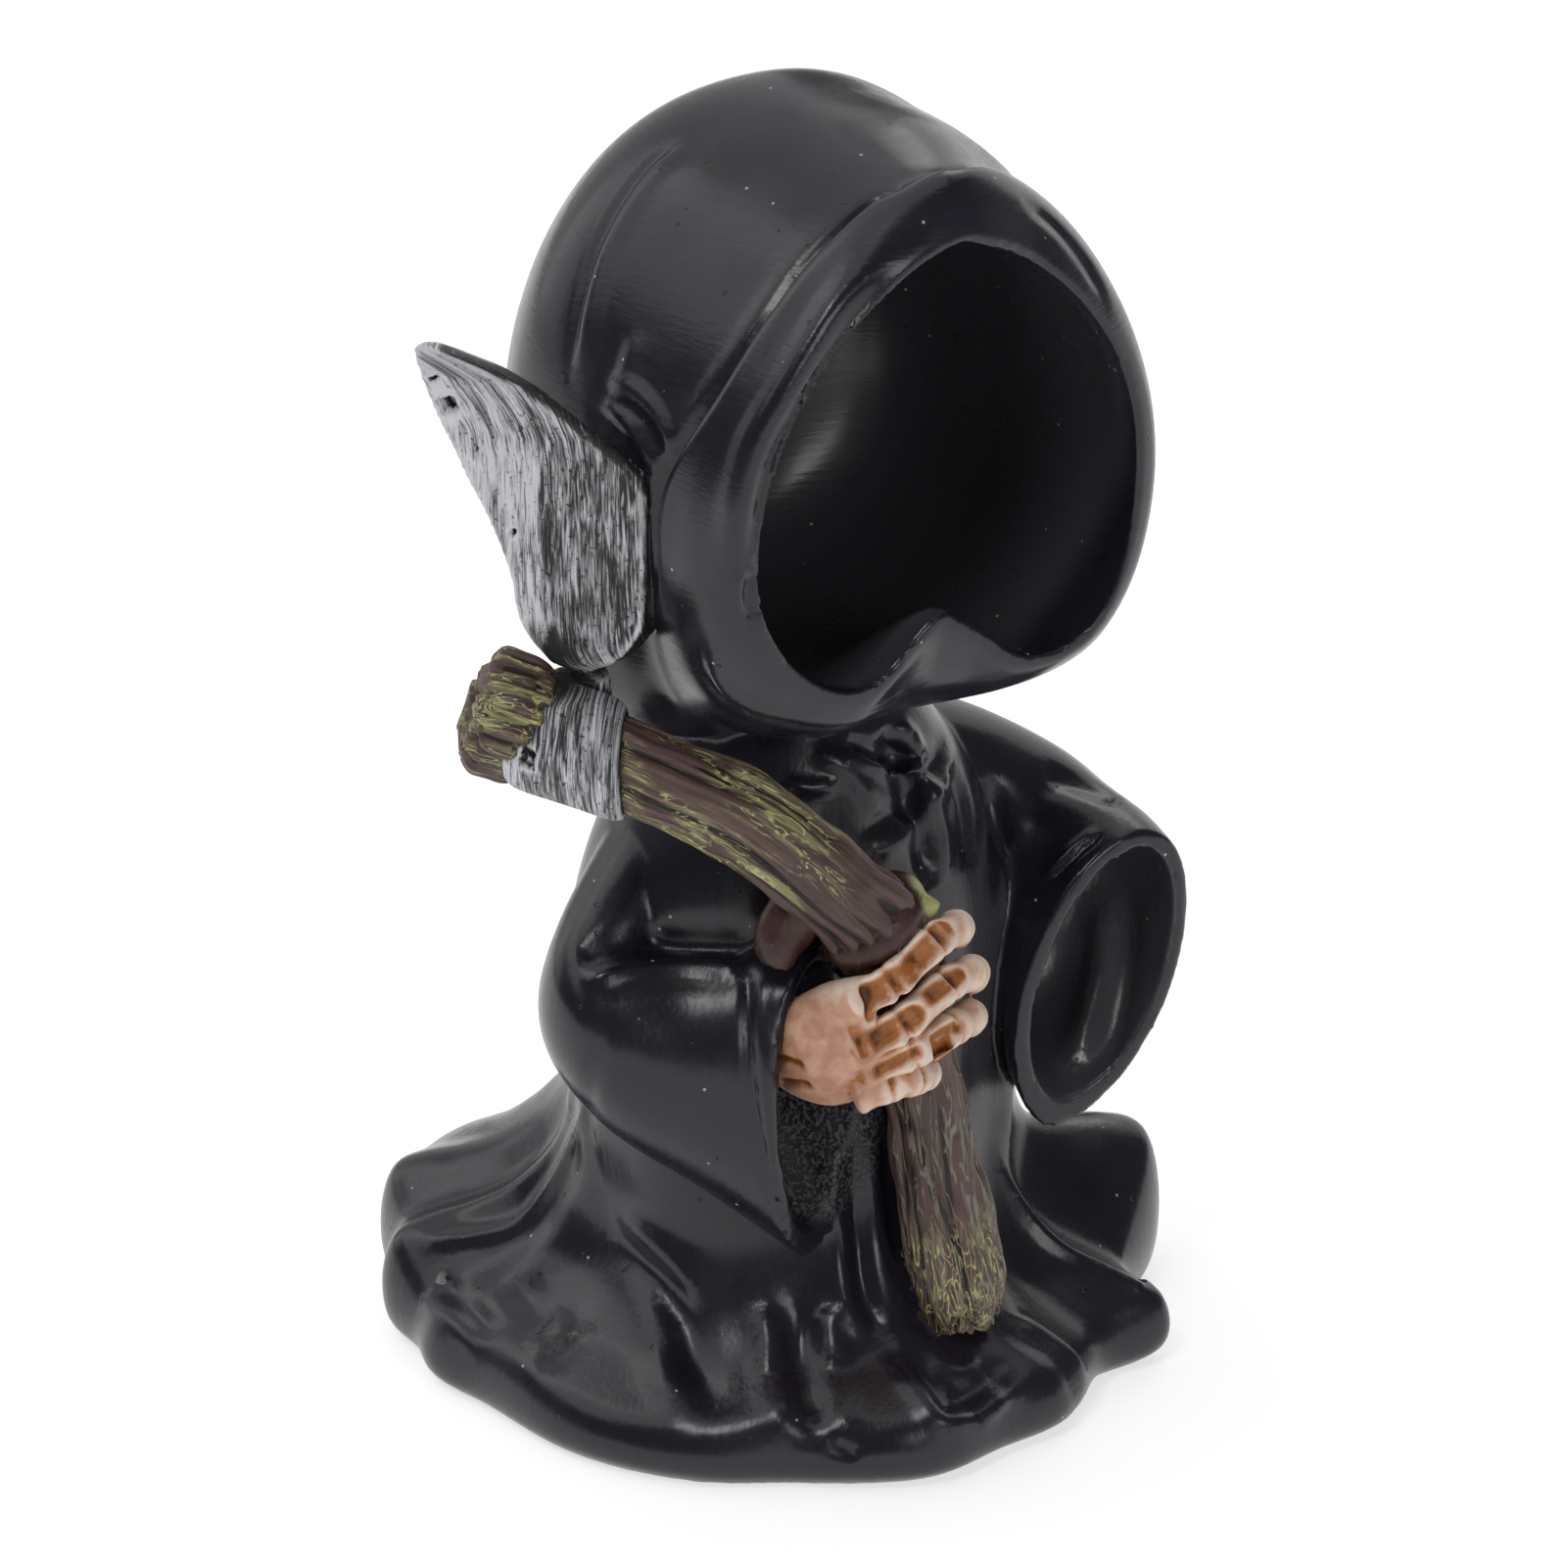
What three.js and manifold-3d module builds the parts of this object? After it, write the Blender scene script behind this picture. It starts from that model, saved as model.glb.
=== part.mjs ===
// Grim reaper figurine: a small polyresin casting, painted by hand.
// Millimetres. +Z is up and the figure faces -Y, so its left side is +X.
// The origin is in the middle of the flat underside of the robe.
import * as THREE from "three";
import { mergeVertices } from "three/addons/utils/BufferGeometryUtils.js";
import Module from "manifold-3d";

const wasm = await Module();
wasm.setup();

// Driving dimensions
const HOOD_MIDDLE = 0.3;
const SLEEVE_WALL = 1.4;
const STAFF_RADIUS = 3.3;
const COLLAR_RADIUS = 4.9;
const FINGER_RADIUS = 1.7;
const BLADE_THICK = 3.6;
const BLADE_TURN = THREE.MathUtils.degToRad(40);

// How many corners each form has round its section
const HOOD_SIDES = 44;
const ROBE_SIDES = 72;
const SLEEVE_SIDES = 24;
const STAFF_SIDES = 12;

// A smooth curve through rows of numbers, at t from 0 to 1.
function through(rows, t) {
  const last = rows.length - 1;
  const at = Math.min(Math.max(t, 0), 1) * last;
  const i = Math.min(Math.floor(at), last - 1);
  const f = at - i;
  const row = (k) => rows[Math.min(Math.max(k, 0), last)];
  return rows[i].map((_, n) => {
    const [a, b, c, d] = [row(i - 1)[n], row(i)[n], row(i + 1)[n], row(i + 2)[n]];
    const bend = 2 * a - 5 * b + 4 * c - d + f * (3 * (b - c) + d - a);
    return b + 0.5 * f * (c - a + f * bend);
  });
}

const bell = (x, spread) => Math.exp(-((x / spread) ** 2));
const smooth = (x, low, high) => THREE.MathUtils.smoothstep(x, low, high);
const around = (sides, make) => Array.from({ length: sides }, (_, i) => make((2 * Math.PI * i) / sides));
const steps = (count, make) => Array.from({ length: count + 1 }, (_, i) => make(i / count));

// A closed skin over rings of points, with a fan across each end.
function skin(rings) {
  const sides = rings[0].length;
  const points = rings.flat();
  const centre = (ring) => ring.reduce((sum, p) => sum.add(p), new THREE.Vector3()).divideScalar(sides);
  points.push(centre(rings[0]), centre(rings.at(-1)));
  const index = [];
  for (let i = 0; i < sides; i++) {
    const j = (i + 1) % sides;
    for (let r = 0; r + 1 < rings.length; r++) {
      const [a, b, c, d] = [r * sides + i, r * sides + j, (r + 1) * sides + j, (r + 1) * sides + i];
      index.push(a, b, c, a, c, d);
    }
    const top = (rings.length - 1) * sides;
    index.push(points.length - 2, j, i, points.length - 1, top + i, top + j);
  }
  const geometry = new THREE.BufferGeometry().setFromPoints(points);
  geometry.setIndex(index);
  return geometry;
}

// A geometry as a solid that can be joined and cut.
function solid(geometry) {
  const bare = geometry.index ? geometry.toNonIndexed() : geometry.clone();
  const only = new THREE.BufferGeometry().setAttribute("position", bare.getAttribute("position"));
  const merged = mergeVertices(only, 1e-3);
  const triVerts = new Uint32Array(merged.index.array);
  const make = () =>
    new wasm.Manifold(
      new wasm.Mesh({ numProp: 3, vertProperties: merged.attributes.position.array, triVerts }),
    );
  const made = make();
  if (made.volume() > 0) return made;
  for (let i = 0; i < triVerts.length; i += 3) {
    [triVerts[i + 1], triVerts[i + 2]] = [triVerts[i + 2], triVerts[i + 1]];
  }
  return make();
}

// The robe from its hem to the neck, as rings about the upright axis.
const ROBE_PROFILE = [
  // radius, height, share of the folds' reach, share of the folds' lift, shift forward, breadth
  [25.6, 0.0, 0.8, 0.0, 0.2, 1.0],
  [26.8, 1.2, 0.95, 0.1, 0.2, 1.0],
  [27.2, 3.0, 1.0, 0.6, 0.2, 1.0],
  [26.4, 4.6, 1.0, 1.0, 0.2, 1.0],
  [23.8, 5.8, 0.9, 1.0, 0.2, 1.0],
  [20.4, 7.8, 0.7, 0.8, 0.2, 1.02],
  [17.6, 11.2, 0.5, 0.5, 0.5, 1.06],
  [15.2, 16.0, 0.3, 0.3, 1.0, 1.2],
  [13.8, 22.0, 0.15, 0.1, 1.6, 1.42],
  [13.2, 30.0, 0.1, 0.0, 2.2, 1.5],
  [13.2, 38.0, 0.05, 0.0, 2.4, 1.46],
  [12.8, 44.0, 0.0, 0.0, 2.4, 1.3],
  [11.4, 50.0, 0.0, 0.0, 2.6, 1.2],
  [9.0, 55.0, 0.0, 0.0, 3.4, 1.1],
  [6.0, 59.0, 0.0, 0.0, 4.0, 1.1],
];
// Angles are from the front, towards the figure's left.
const FOLDS = [
  { at: -172, spread: 13, reach: 2.0, lift: 6.5 },
  { at: -146, spread: 10, reach: 6.0, lift: 4.8 },
  { at: -126, spread: 9, reach: 4.4, lift: 2.2 },
  { at: -88, spread: 16, reach: -0.6, lift: 1.0 },
  { at: -34, spread: 8, reach: -0.6, lift: 0.8 },
  { at: -8, spread: 12, reach: 1.8, lift: 0.6 },
  { at: 18, spread: 10, reach: 1.6, lift: 0.8 },
  { at: 46, spread: 7, reach: 4.4, lift: 1.0 },
  { at: 78, spread: 15, reach: 6.0, lift: 7.0 },
  { at: 112, spread: 13, reach: 2.0, lift: 3.0 },
  { at: 146, spread: 13, reach: 2.5, lift: 5.0 },
];

function robe() {
  const rings = ROBE_PROFILE.map(([radius, height, out, up, forward, breadth]) =>
    around(ROBE_SIDES, (angle) => {
      let [reach, lift] = [0, 0];
      for (const fold of FOLDS) {
        const away = THREE.MathUtils.euclideanModulo((angle * 180) / Math.PI - fold.at + 180, 360) - 180;
        reach += fold.reach * bell(away, fold.spread);
        lift += fold.lift * bell(away, fold.spread);
      }
      const r = radius + out * reach;
      const [x, y] = [breadth * r * Math.sin(angle), -r * Math.cos(angle) - forward];
      return new THREE.Vector3(x, y, height + up * lift);
    }),
  );
  return solid(skin(rings));
}

// The hood is rings across its depth, from the crown at the back to the lip of the opening.
const HOOD_OUTSIDE = [
  // depth, half width, top, widest height, bottom, upper, left and right lower roundness, notch, lean
  [17.5, 1.5, 80.0, 78, 76.0, 1, 1, 1, 0, 0],
  [16.6, 6.8, 86.6, 78, 70.2, 1, 1, 1, 0, 0],
  [13.8, 12.8, 93.8, 78, 64.6, 0.96, 1, 1, 0, 0],
  [9.4, 18.0, 99.6, 78, 60.0, 0.92, 0.9, 1, 0, 0],
  [3.4, 21.5, 103.4, 78, 56.6, 0.9, 0.6, 0.9, 0, 0],
  [-3.0, 22.2, 103.9, 78, 55.2, 0.98, 0.42, 0.8, 0, 0],
  [-9.0, 20.6, 102.4, 78, 55.4, 1.2, 0.42, 0.7, 0, 0],
  [-13.0, 19.2, 101.0, 78, 56.4, 1.35, 0.52, 0.7, 0, 0.6],
  [-15.5, 20.0, 102.0, 77, 57.0, 1.4, 0.6, 0.6, 0, 1],
  [-18.0, 21.1, 103.2, 76, 58.0, 1.46, 0.65, 0.5, 0.1, 1],
  [-20.6, 20.8, 102.8, 76, 59.6, 1.42, 0.7, 0.5, 0.4, 1],
  [-22.6, 19.6, 100.8, 76.5, 61.0, 1.36, 0.75, 0.5, 0.8, 1],
  [-23.0, 18.3, 99.4, 77, 61.6, 1.3, 0.8, 0.45, 1, 1],
];
const HOOD_INSIDE = [
  [-25.0, 17.6, 98.8, 77, 62.6, 1.27, 0.87, 0.4, 1, 1],
  [-21.5, 17.3, 98.4, 77, 62.8, 1.27, 0.87, 0.4, 1, 1],
  [-17.0, 17.8, 98.8, 77, 62.0, 1.2, 0.87, 0.6, 0.7, 0.8],
  [-10.0, 18.0, 99.4, 78, 60.8, 1.1, 0.9, 0.9, 0.2, 0],
  [-2.0, 18.6, 100.4, 78, 60.4, 0.95, 0.9, 1, 0, 0],
  [5.0, 16.8, 97.8, 78, 62.0, 0.92, 1, 1, 0, 0],
  [10.0, 12.4, 92.6, 78, 66.0, 0.96, 1, 1, 0, 0],
  [13.4, 6.2, 86.0, 78, 71.4, 1, 1, 1, 0, 0],
  [14.6, 1.5, 80.0, 78, 76.0, 1, 1, 1, 0, 0],
];
// The lip rises to a blunt peak in the middle of the chin.
const NOTCH_HEIGHT = 6;
const NOTCH_SPREAD = 5;

function hoodRing([y, half, top, wide, bottom, upper, left, right, notch, lean]) {
  return around(HOOD_SIDES, (angle) => {
    const [s, c] = [Math.sin(angle), Math.cos(angle)];
    const roundness = c > 0 ? upper : s > 0 ? right : left;
    const x = half * Math.sign(s) * Math.abs(s) ** roundness;
    const z = wide + c * (c > 0 ? top - wide : wide - bottom);
    const raised = c < 0 ? notch * NOTCH_HEIGHT * bell(x, NOTCH_SPREAD) : 0;
    return new THREE.Vector3(x + HOOD_MIDDLE, y - 0.06 * lean * (z - 77), z + raised);
  });
}
const hoodForm = (stations) => solid(skin(stations.map(hoodRing)));

// A sleeve is sections along the arm. Each has a centre, half width, rise and drop from the centre,
// the turn from the front towards the figure's left and the pitch upwards in degrees, the lean of the
// section to the figure's left, and how pointed its lower end is.
const SECTION = ["half", "rise", "drop", "turn", "pitch", "lean", "pointed"];

function axes({ turn, pitch, lean }) {
  const rad = THREE.MathUtils.degToRad;
  const frame = new THREE.Euler(-rad(pitch), rad(lean), rad(turn), "ZXY");
  return {
    side: new THREE.Vector3(1, 0, 0).applyEuler(frame),
    facing: new THREE.Vector3(0, -1, 0).applyEuler(frame),
    up: new THREE.Vector3(0, 0, 1).applyEuler(frame),
  };
}

function sectionRing(section) {
  const { side, up } = axes(section);
  return around(SLEEVE_SIDES, (angle) => {
    const [s, c] = [Math.sin(angle), Math.cos(angle)];
    const across = section.half * Math.sign(s) * Math.abs(s) ** (c < 0 ? section.pointed : 1);
    return new THREE.Vector3(...section.at)
      .addScaledVector(side, across)
      .addScaledVector(up, c * (c > 0 ? section.rise : section.drop));
  });
}

const rowOf = (station) => [...station.at, ...SECTION.map((n) => station[n] ?? (n === "pointed" ? 1 : 0))];
function sectionAt(stations, t) {
  const row = through(stations.map(rowOf), t);
  return { at: row.slice(0, 3), ...Object.fromEntries(SECTION.map((n, i) => [n, row[i + 3]])) };
}

function limb(stations, between = 3) {
  const rings = steps((stations.length - 1) * between, (t) => sectionRing(sectionAt(stations, t)));
  return solid(skin(rings));
}

// The hollow of a sleeve follows its sections back from the cuff, inside the wall.
const HOLLOW_STEPS = [
  // share of the way back to the end of the hollow, drawn in
  [0, 0],
  [0.4, 0.2],
  [0.75, 0.8],
  [0.93, 2.0],
  [1, 3.4],
];
function hollow(stations, end) {
  const inner = (t, drawn) => {
    const outer = sectionAt(stations, t);
    const wall = SLEEVE_WALL + drawn;
    return { ...outer, half: outer.half - wall, rise: outer.rise - wall, drop: outer.drop - 1.6 * wall };
  };
  const inside = HOLLOW_STEPS.map(([share, drawn]) => inner(1 - (1 - end) * share, drawn));
  const mouth = inside[0];
  const { facing } = axes(mouth);
  const before = { ...mouth, at: new THREE.Vector3(...mouth.at).addScaledVector(facing, 2).toArray() };
  return solid(skin([before, ...inside].map(sectionRing)));
}

const RIGHT_SLEEVE = [
  { at: [-6, -1, 50], half: 6, rise: 4, drop: 6, turn: -60, pitch: -15 },
  { at: [-10, -2, 46], half: 6.6, rise: 5, drop: 8, turn: -45, pitch: -35 },
  { at: [-16.0, -3.8, 39.3], half: 7.4, rise: 5, drop: 8.5, turn: 5, pitch: -40 },
  { at: [-17.0, -7.0, 35.0], half: 7.6, rise: 6, drop: 9, turn: 28, pitch: -12 },
  { at: [-12.6, -11.2, 32.0], half: 7.4, rise: 8.6, drop: 11.2, turn: 30, pitch: 0, pointed: 1.1 },
  { at: [-7.8, -16.8, 30], half: 6.7, rise: 11.8, drop: 14.3, turn: 26, pitch: 0, pointed: 1.15 },
];
const LEFT_SLEEVE = [
  { at: [6, -1, 50], half: 6, rise: 4, drop: 6, turn: 60, pitch: -10 },
  { at: [13, -1.5, 45.5], half: 7, rise: 6, drop: 8, turn: 45, pitch: -25 },
  { at: [18.2, -4, 40.2], half: 7.6, rise: 7.2, drop: 12, turn: 20, pitch: -25, lean: 8 },
  { at: [20.2, -8, 36.4], half: 7.8, rise: 8.4, drop: 13, turn: 5, pitch: -12, lean: 14 },
  { at: [20.3, -12.4, 33.6], half: 7.4, rise: 10, drop: 12.4, turn: -3, pitch: -4, lean: 19, pointed: 1.1 },
  { at: [19.4, -16.7, 31.8], half: 6.8, rise: 11.4, drop: 12.6, turn: -5, lean: 22, pointed: 1.15 },
];

// How far along its sleeve each hollow ends, with the cuff at 1
const RIGHT_HOLLOW_END = 0.72;
const LEFT_HOLLOW_END = 0.58;

// The staff is a crooked branch, from its foot to its upper end.
const STAFF_LINE = [
  [2.9, -20.5, 8.5],
  [2.7, -19.5, 14.9],
  [2.2, -19.0, 20.7],
  [1.0, -19.0, 28.5],
  [-1.2, -19.5, 35.9],
  [-3.9, -20.0, 43.0],
  [-8.3, -19.8, 48.1],
  [-12.0, -18.8, 52.1],
  [-15.3, -17.2, 54.9],
  [-18.4, -15.4, 56.9],
  [-22.0, -13.0, 59.0],
  [-25.4, -10.3, 60.7],
  [-28.1, -8.0, 61.8],
  [-31.2, -5.5, 62.8],
];

// A tube along a smooth line, or along a share of it. Its radius is given for each step and angle.
function tube(line, radiusAt, sides, lengthSteps, from = 0, to = 1) {
  const curve = new THREE.CatmullRomCurve3(line.map((p) => new THREE.Vector3(...p)));
  const rings = steps(lengthSteps, (t) => {
    const at = from + (to - from) * t;
    const centre = curve.getPoint(at);
    const along = curve.getTangent(at);
    const side = new THREE.Vector3(0.5, 0.86, 0).cross(along).normalize();
    const up = new THREE.Vector3().crossVectors(along, side);
    return around(sides, (angle) => {
      const r = radiusAt(t, angle);
      return centre
        .clone()
        .addScaledVector(side, r * Math.cos(angle))
        .addScaledVector(up, r * Math.sin(angle));
    });
  });
  return solid(skin(rings));
}

function staff() {
  const swell = (t) => 0.24 * bell(t - 0.38, 0.06) + 0.35 * smooth(t, 0.85, 0.93);
  const bark = (t, angle) => 0.05 * Math.sin(3 * angle + 6 * t);
  return tube(STAFF_LINE, (t, angle) => STAFF_RADIUS * (1 + swell(t) + bark(t, angle)), STAFF_SIDES, 30);
}

// A stump of a side branch hangs under the staff beside the cuff.
function twig() {
  const line = [[-10.5, -18.6, 51.0], [-12.0, -18.0, 47.4], [-12.6, -17.6, 44.6], [-12.8, -17.2, 43.0]];
  return tube(line, (t) => 1.2 + 1.4 * bell(t - 0.75, 0.3), 10, 6);
}

// The blade's socket goes round the upper end of the staff.
function collar() {
  return tube(STAFF_LINE, (t) => COLLAR_RADIUS + 0.3 * Math.sin(Math.PI * t), 16, 4, 0.8, 0.935);
}

// The blade stands upright along the upper staff, with a bevel on its outer side.
const BLADE_CORNER = [-19, -12];
const BLADE = [
  // height, inner edge, ridge, outer edge, share of the thickness
  [62.0, 2.0, 6.5, 9.0, 0.8],
  [65.5, 1.5, 7.0, 9.4, 1.0],
  [69.0, 0.4, 7.6, 10.4, 1.0],
  [76.0, 0.0, 8.4, 11.6, 1.0],
  [80.5, 0.2, 10.0, 13.6, 0.95],
  [83.5, 3.4, 11.4, 15.0, 0.85],
  [87.2, 7.8, 13.0, 16.4, 0.7],
  [89.6, 11.6, 14.4, 16.8, 0.5],
  [91.0, 14.2, 15.2, 16.4, 0.2],
];
function blade() {
  const out = new THREE.Vector3(-Math.cos(BLADE_TURN), Math.sin(BLADE_TURN), 0);
  const face = new THREE.Vector3(-Math.sin(BLADE_TURN), -Math.cos(BLADE_TURN), 0);
  const rings = BLADE.map(([height, inner, ridge, outer, share]) => {
    const thick = (share * BLADE_THICK) / 2;
    const section = [
      [inner, -thick],
      [inner, thick * 0.6],
      [inner + 0.6 * share, thick],
      [ridge, thick],
      [outer, -0.3 * thick],
      [outer - 0.3, -0.7 * thick],
      [ridge, -thick],
    ];
    return section.map(([along, proud]) =>
      new THREE.Vector3(...BLADE_CORNER, height).addScaledVector(out, along).addScaledVector(face, proud),
    );
  });
  return solid(skin(rings));
}

// The hand is a palm out of the right sleeve and four bony fingers round the staff.
const PALM = [
  { at: [-12.5, -12, 33.5], half: 3.4, rise: 4.5, drop: 5, turn: 40, lean: -14 },
  { at: [-10.8, -18, 35], half: 3, rise: 5.4, drop: 6, turn: 40, lean: -14 },
  { at: [-8.4, -21.4, 36.2], half: 2.6, rise: 6, drop: 6.6, turn: 45, lean: -14 },
  { at: [-6.4, -23, 36.8], half: 1.9, rise: 5.6, drop: 5.6, turn: 55, lean: -14 },
];
const FINGERS = [
  [[-8.6, -22.8, 41.0], [-4.0, -24.5, 42.9], [0.3, -24.0, 43.6], [2.0, -21.6, 43.0], [1.5, -19.5, 42.0]],
  [[-7.6, -23.2, 37.4], [-2.8, -24.8, 39.1], [1.6, -24.2, 39.6], [3.3, -21.6, 39.0], [2.7, -19.5, 38.0]],
  [[-7.2, -23.2, 34.2], [-2.4, -24.4, 35.6], [1.8, -23.8, 35.8], [3.6, -21.4, 35.3], [3.0, -19.5, 34.5]],
  [[-6.6, -22.6, 31.8], [-3.6, -23.4, 32.6], [-1.0, -23.0, 32.4], [0.8, -21.2, 31.8]],
];
function hand() {
  const bones = FINGERS.map((line) => {
    const knuckles = line.length - 2;
    return tube(line, (t) => FINGER_RADIUS * (0.92 + 0.1 * Math.cos(2 * Math.PI * knuckles * t)), 8, 12);
  });
  return [limb(PALM, 2), ...bones].reduce((a, b) => a.add(b));
}

const cloth = [robe(), hoodForm(HOOD_OUTSIDE), limb(RIGHT_SLEEVE), limb(LEFT_SLEEVE)]
  .reduce((a, b) => a.add(b))
  .subtract(hollow(RIGHT_SLEEVE, RIGHT_HOLLOW_END))
  .subtract(hollow(LEFT_SLEEVE, LEFT_HOLLOW_END));
const casting = [staff(), twig(), collar(), blade(), hand()]
  .reduce((a, b) => a.add(b), cloth)
  .subtract(hoodForm(HOOD_INSIDE));

// A cut solid as a mesh for the scene graph.
function meshOf(made, name, material) {
  const { numProp, vertProperties, triVerts } = made.getMesh();
  const position = new Float32Array((vertProperties.length / numProp) * 3);
  for (let i = 0; i < position.length / 3; i++) {
    position.set(vertProperties.subarray(i * numProp, i * numProp + 3), i * 3);
  }
  const geometry = new THREE.BufferGeometry();
  geometry.setAttribute("position", new THREE.BufferAttribute(position, 3));
  geometry.setIndex(new THREE.BufferAttribute(triVerts, 1));
  geometry.computeVertexNormals();
  const mesh = new THREE.Mesh(geometry, material);
  mesh.name = name;
  return mesh;
}

const paint = new THREE.MeshStandardMaterial({ color: "#151518", roughness: 0.3, metalness: 0 });
const figurine = new THREE.Group();
figurine.add(meshOf(casting, "reaper_figurine", paint));
export default figurine;
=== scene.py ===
"""Grim reaper figurine: a small polyresin casting, painted by hand.

Shapes are worked out in millimetres and turned to metres at the end. +Z is up, the figure faces -Y
and its left side is +X. The whole figurine is one casting, so it is one piece.
"""
import math

import bpy
import numpy as np
from mathutils import Matrix, Vector
from mathutils.bvhtree import BVHTree


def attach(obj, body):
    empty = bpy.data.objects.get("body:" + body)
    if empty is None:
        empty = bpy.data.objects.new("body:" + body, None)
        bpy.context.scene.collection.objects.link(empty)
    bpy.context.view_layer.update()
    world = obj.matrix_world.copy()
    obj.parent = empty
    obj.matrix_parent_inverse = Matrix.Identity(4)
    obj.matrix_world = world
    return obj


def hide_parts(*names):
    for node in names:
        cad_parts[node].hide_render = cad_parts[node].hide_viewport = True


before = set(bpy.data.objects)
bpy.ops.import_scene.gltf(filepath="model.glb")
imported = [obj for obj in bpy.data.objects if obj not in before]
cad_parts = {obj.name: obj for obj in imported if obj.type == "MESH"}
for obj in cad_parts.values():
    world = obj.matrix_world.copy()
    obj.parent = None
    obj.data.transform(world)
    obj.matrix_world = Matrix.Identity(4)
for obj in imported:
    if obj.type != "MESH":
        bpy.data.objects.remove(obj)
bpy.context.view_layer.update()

# Units, the camera, and the lines of sight through points of its 1601 x 1601 picture

METRES_PER_MM = 0.001
MM_PER_METRE = 1000.0
PICTURE = 1601
MM_PER_PIXEL = 0.0742
AZIMUTH = math.radians(-35)
ELEVATION = math.radians(24)
DISTANCE = 620.0
TARGET = np.array([-3.0, -6.0, 50.0])
BACK = np.array(
    [
        math.sin(AZIMUTH) * math.cos(ELEVATION),
        -math.cos(AZIMUTH) * math.cos(ELEVATION),
        math.sin(ELEVATION),
    ]
)
RIGHT = np.array([math.cos(AZIMUTH), math.sin(AZIMUTH), 0.0])
UP = np.cross(BACK, RIGHT)
EYE = TARGET + DISTANCE * BACK


def sight(px, py):
    """The direction in which the camera looks through a point of its picture."""
    across = (px - PICTURE / 2) * MM_PER_PIXEL
    down = (py - PICTURE / 2) * MM_PER_PIXEL
    way = RIGHT * across - UP * down - BACK * DISTANCE
    return Vector(way / np.linalg.norm(way))


def smooth(x, low, high):
    """A soft step from 0 at low to 1 at high."""
    t = np.clip((np.asarray(x, float) - low) / (high - low), 0, 1)
    return t * t * (3 - 2 * t)


def bell(x, spread):
    return np.exp(-((x / spread) ** 2))


def through(rows, t):
    """A smooth curve through rows of numbers, at each t from 0 to 1."""
    rows = np.asarray(rows, float)
    last = len(rows) - 1
    at = np.clip(np.atleast_1d(t), 0, 1) * last
    i = np.minimum(at.astype(int), last - 1)
    f = (at - i)[:, None]
    a, b, c, d = (rows[np.clip(i + k, 0, last)] for k in (-1, 0, 1, 2))
    return b + 0.5 * f * (c - a + f * (2 * a - 5 * b + 4 * c - d + f * (3 * (b - c) + d - a)))


def turn_round(sides):
    return np.arange(sides) * 2 * math.pi / sides


def unit(v):
    return v / np.linalg.norm(v, axis=-1, keepdims=True)


# Meshes

RELAX_STEPS = (0.5, -0.53)


def new_piece(name, points, faces):
    mesh = bpy.data.meshes.new(name)
    mesh.from_pydata(np.asarray(points).tolist(), [], faces)
    mesh.update()
    piece = bpy.data.objects.new(name, mesh)
    bpy.context.scene.collection.objects.link(piece)
    return piece


def skin(name, rings):
    """A closed skin over rings of points, with a fan across each end, facing outwards."""
    rings = np.asarray(rings, float)
    rows, sides = rings.shape[:2]
    points = np.vstack([rings.reshape(-1, 3), rings[0].mean(0), rings[-1].mean(0)])
    i = np.arange(sides)
    j = (i + 1) % sides
    faces = []
    for r in range(rows - 1):
        a = r * sides
        b = a + sides
        faces += np.stack([a + i, a + j, b + j, b + i], 1).tolist()
    top = (rows - 1) * sides
    faces += np.stack([np.full(sides, len(points) - 2), j, i], 1).tolist()
    faces += np.stack([np.full(sides, len(points) - 1), top + i, top + j], 1).tolist()
    piece = new_piece(name, points, faces)
    corners = [points[face[:3]] for face in faces]
    corners += [points[[face[0], face[2], face[3]]] for face in faces if len(face) == 4]
    volume = sum(np.dot(c[0], np.cross(c[1], c[2])) for c in corners)
    if volume < 0:
        piece.data.flip_normals()
    return piece


def settled(piece, kind=None, **settings):
    """The piece with a modifier added and made plain mesh."""
    if kind:
        modifier = piece.modifiers.new(kind, kind)
        for key, value in settings.items():
            setattr(modifier, key, value)
    bpy.context.view_layer.update()
    graph = bpy.context.evaluated_depsgraph_get()
    mesh = bpy.data.meshes.new_from_object(piece.evaluated_get(graph))
    piece.modifiers.clear()
    old = piece.data
    piece.data = mesh
    bpy.data.meshes.remove(old)
    return piece


def revoxel(piece, size):
    """The outer skin of the piece's shells, made anew as one mesh of small squares."""
    settled(piece, "REMESH", mode="VOXEL", voxel_size=size, use_smooth_shade=True)


def joined(name, pieces):
    """Several pieces as the loose shells of one mesh."""
    points, faces, count = [], [], 0
    for piece in pieces:
        mesh = piece.data
        points.append(places(mesh))
        faces += [[count + v for v in face.vertices] for face in mesh.polygons]
        count += len(mesh.vertices)
        discard(piece)
    return new_piece(name, np.vstack(points), faces)


def discard(piece):
    mesh = piece.data
    bpy.data.objects.remove(piece)
    bpy.data.meshes.remove(mesh)


def combine(piece, other, operation):
    """Joins another piece to this one, or cuts it away."""
    how = {"operation": operation, "object": other, "solver": "MANIFOLD", "material_mode": "TRANSFER"}
    settled(piece, "BOOLEAN", **how)
    discard(other)


def places(mesh):
    out = np.empty(len(mesh.vertices) * 3, np.float32)
    mesh.vertices.foreach_get("co", out)
    return out.reshape(-1, 3).astype(float)


def facings(mesh):
    out = np.empty(len(mesh.vertices) * 3, np.float32)
    mesh.vertex_normals.foreach_get("vector", out)
    return out.reshape(-1, 3).astype(float)


def put(piece, points):
    piece.data.vertices.foreach_set("co", points.astype(np.float32).ravel())
    piece.data.update()


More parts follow.
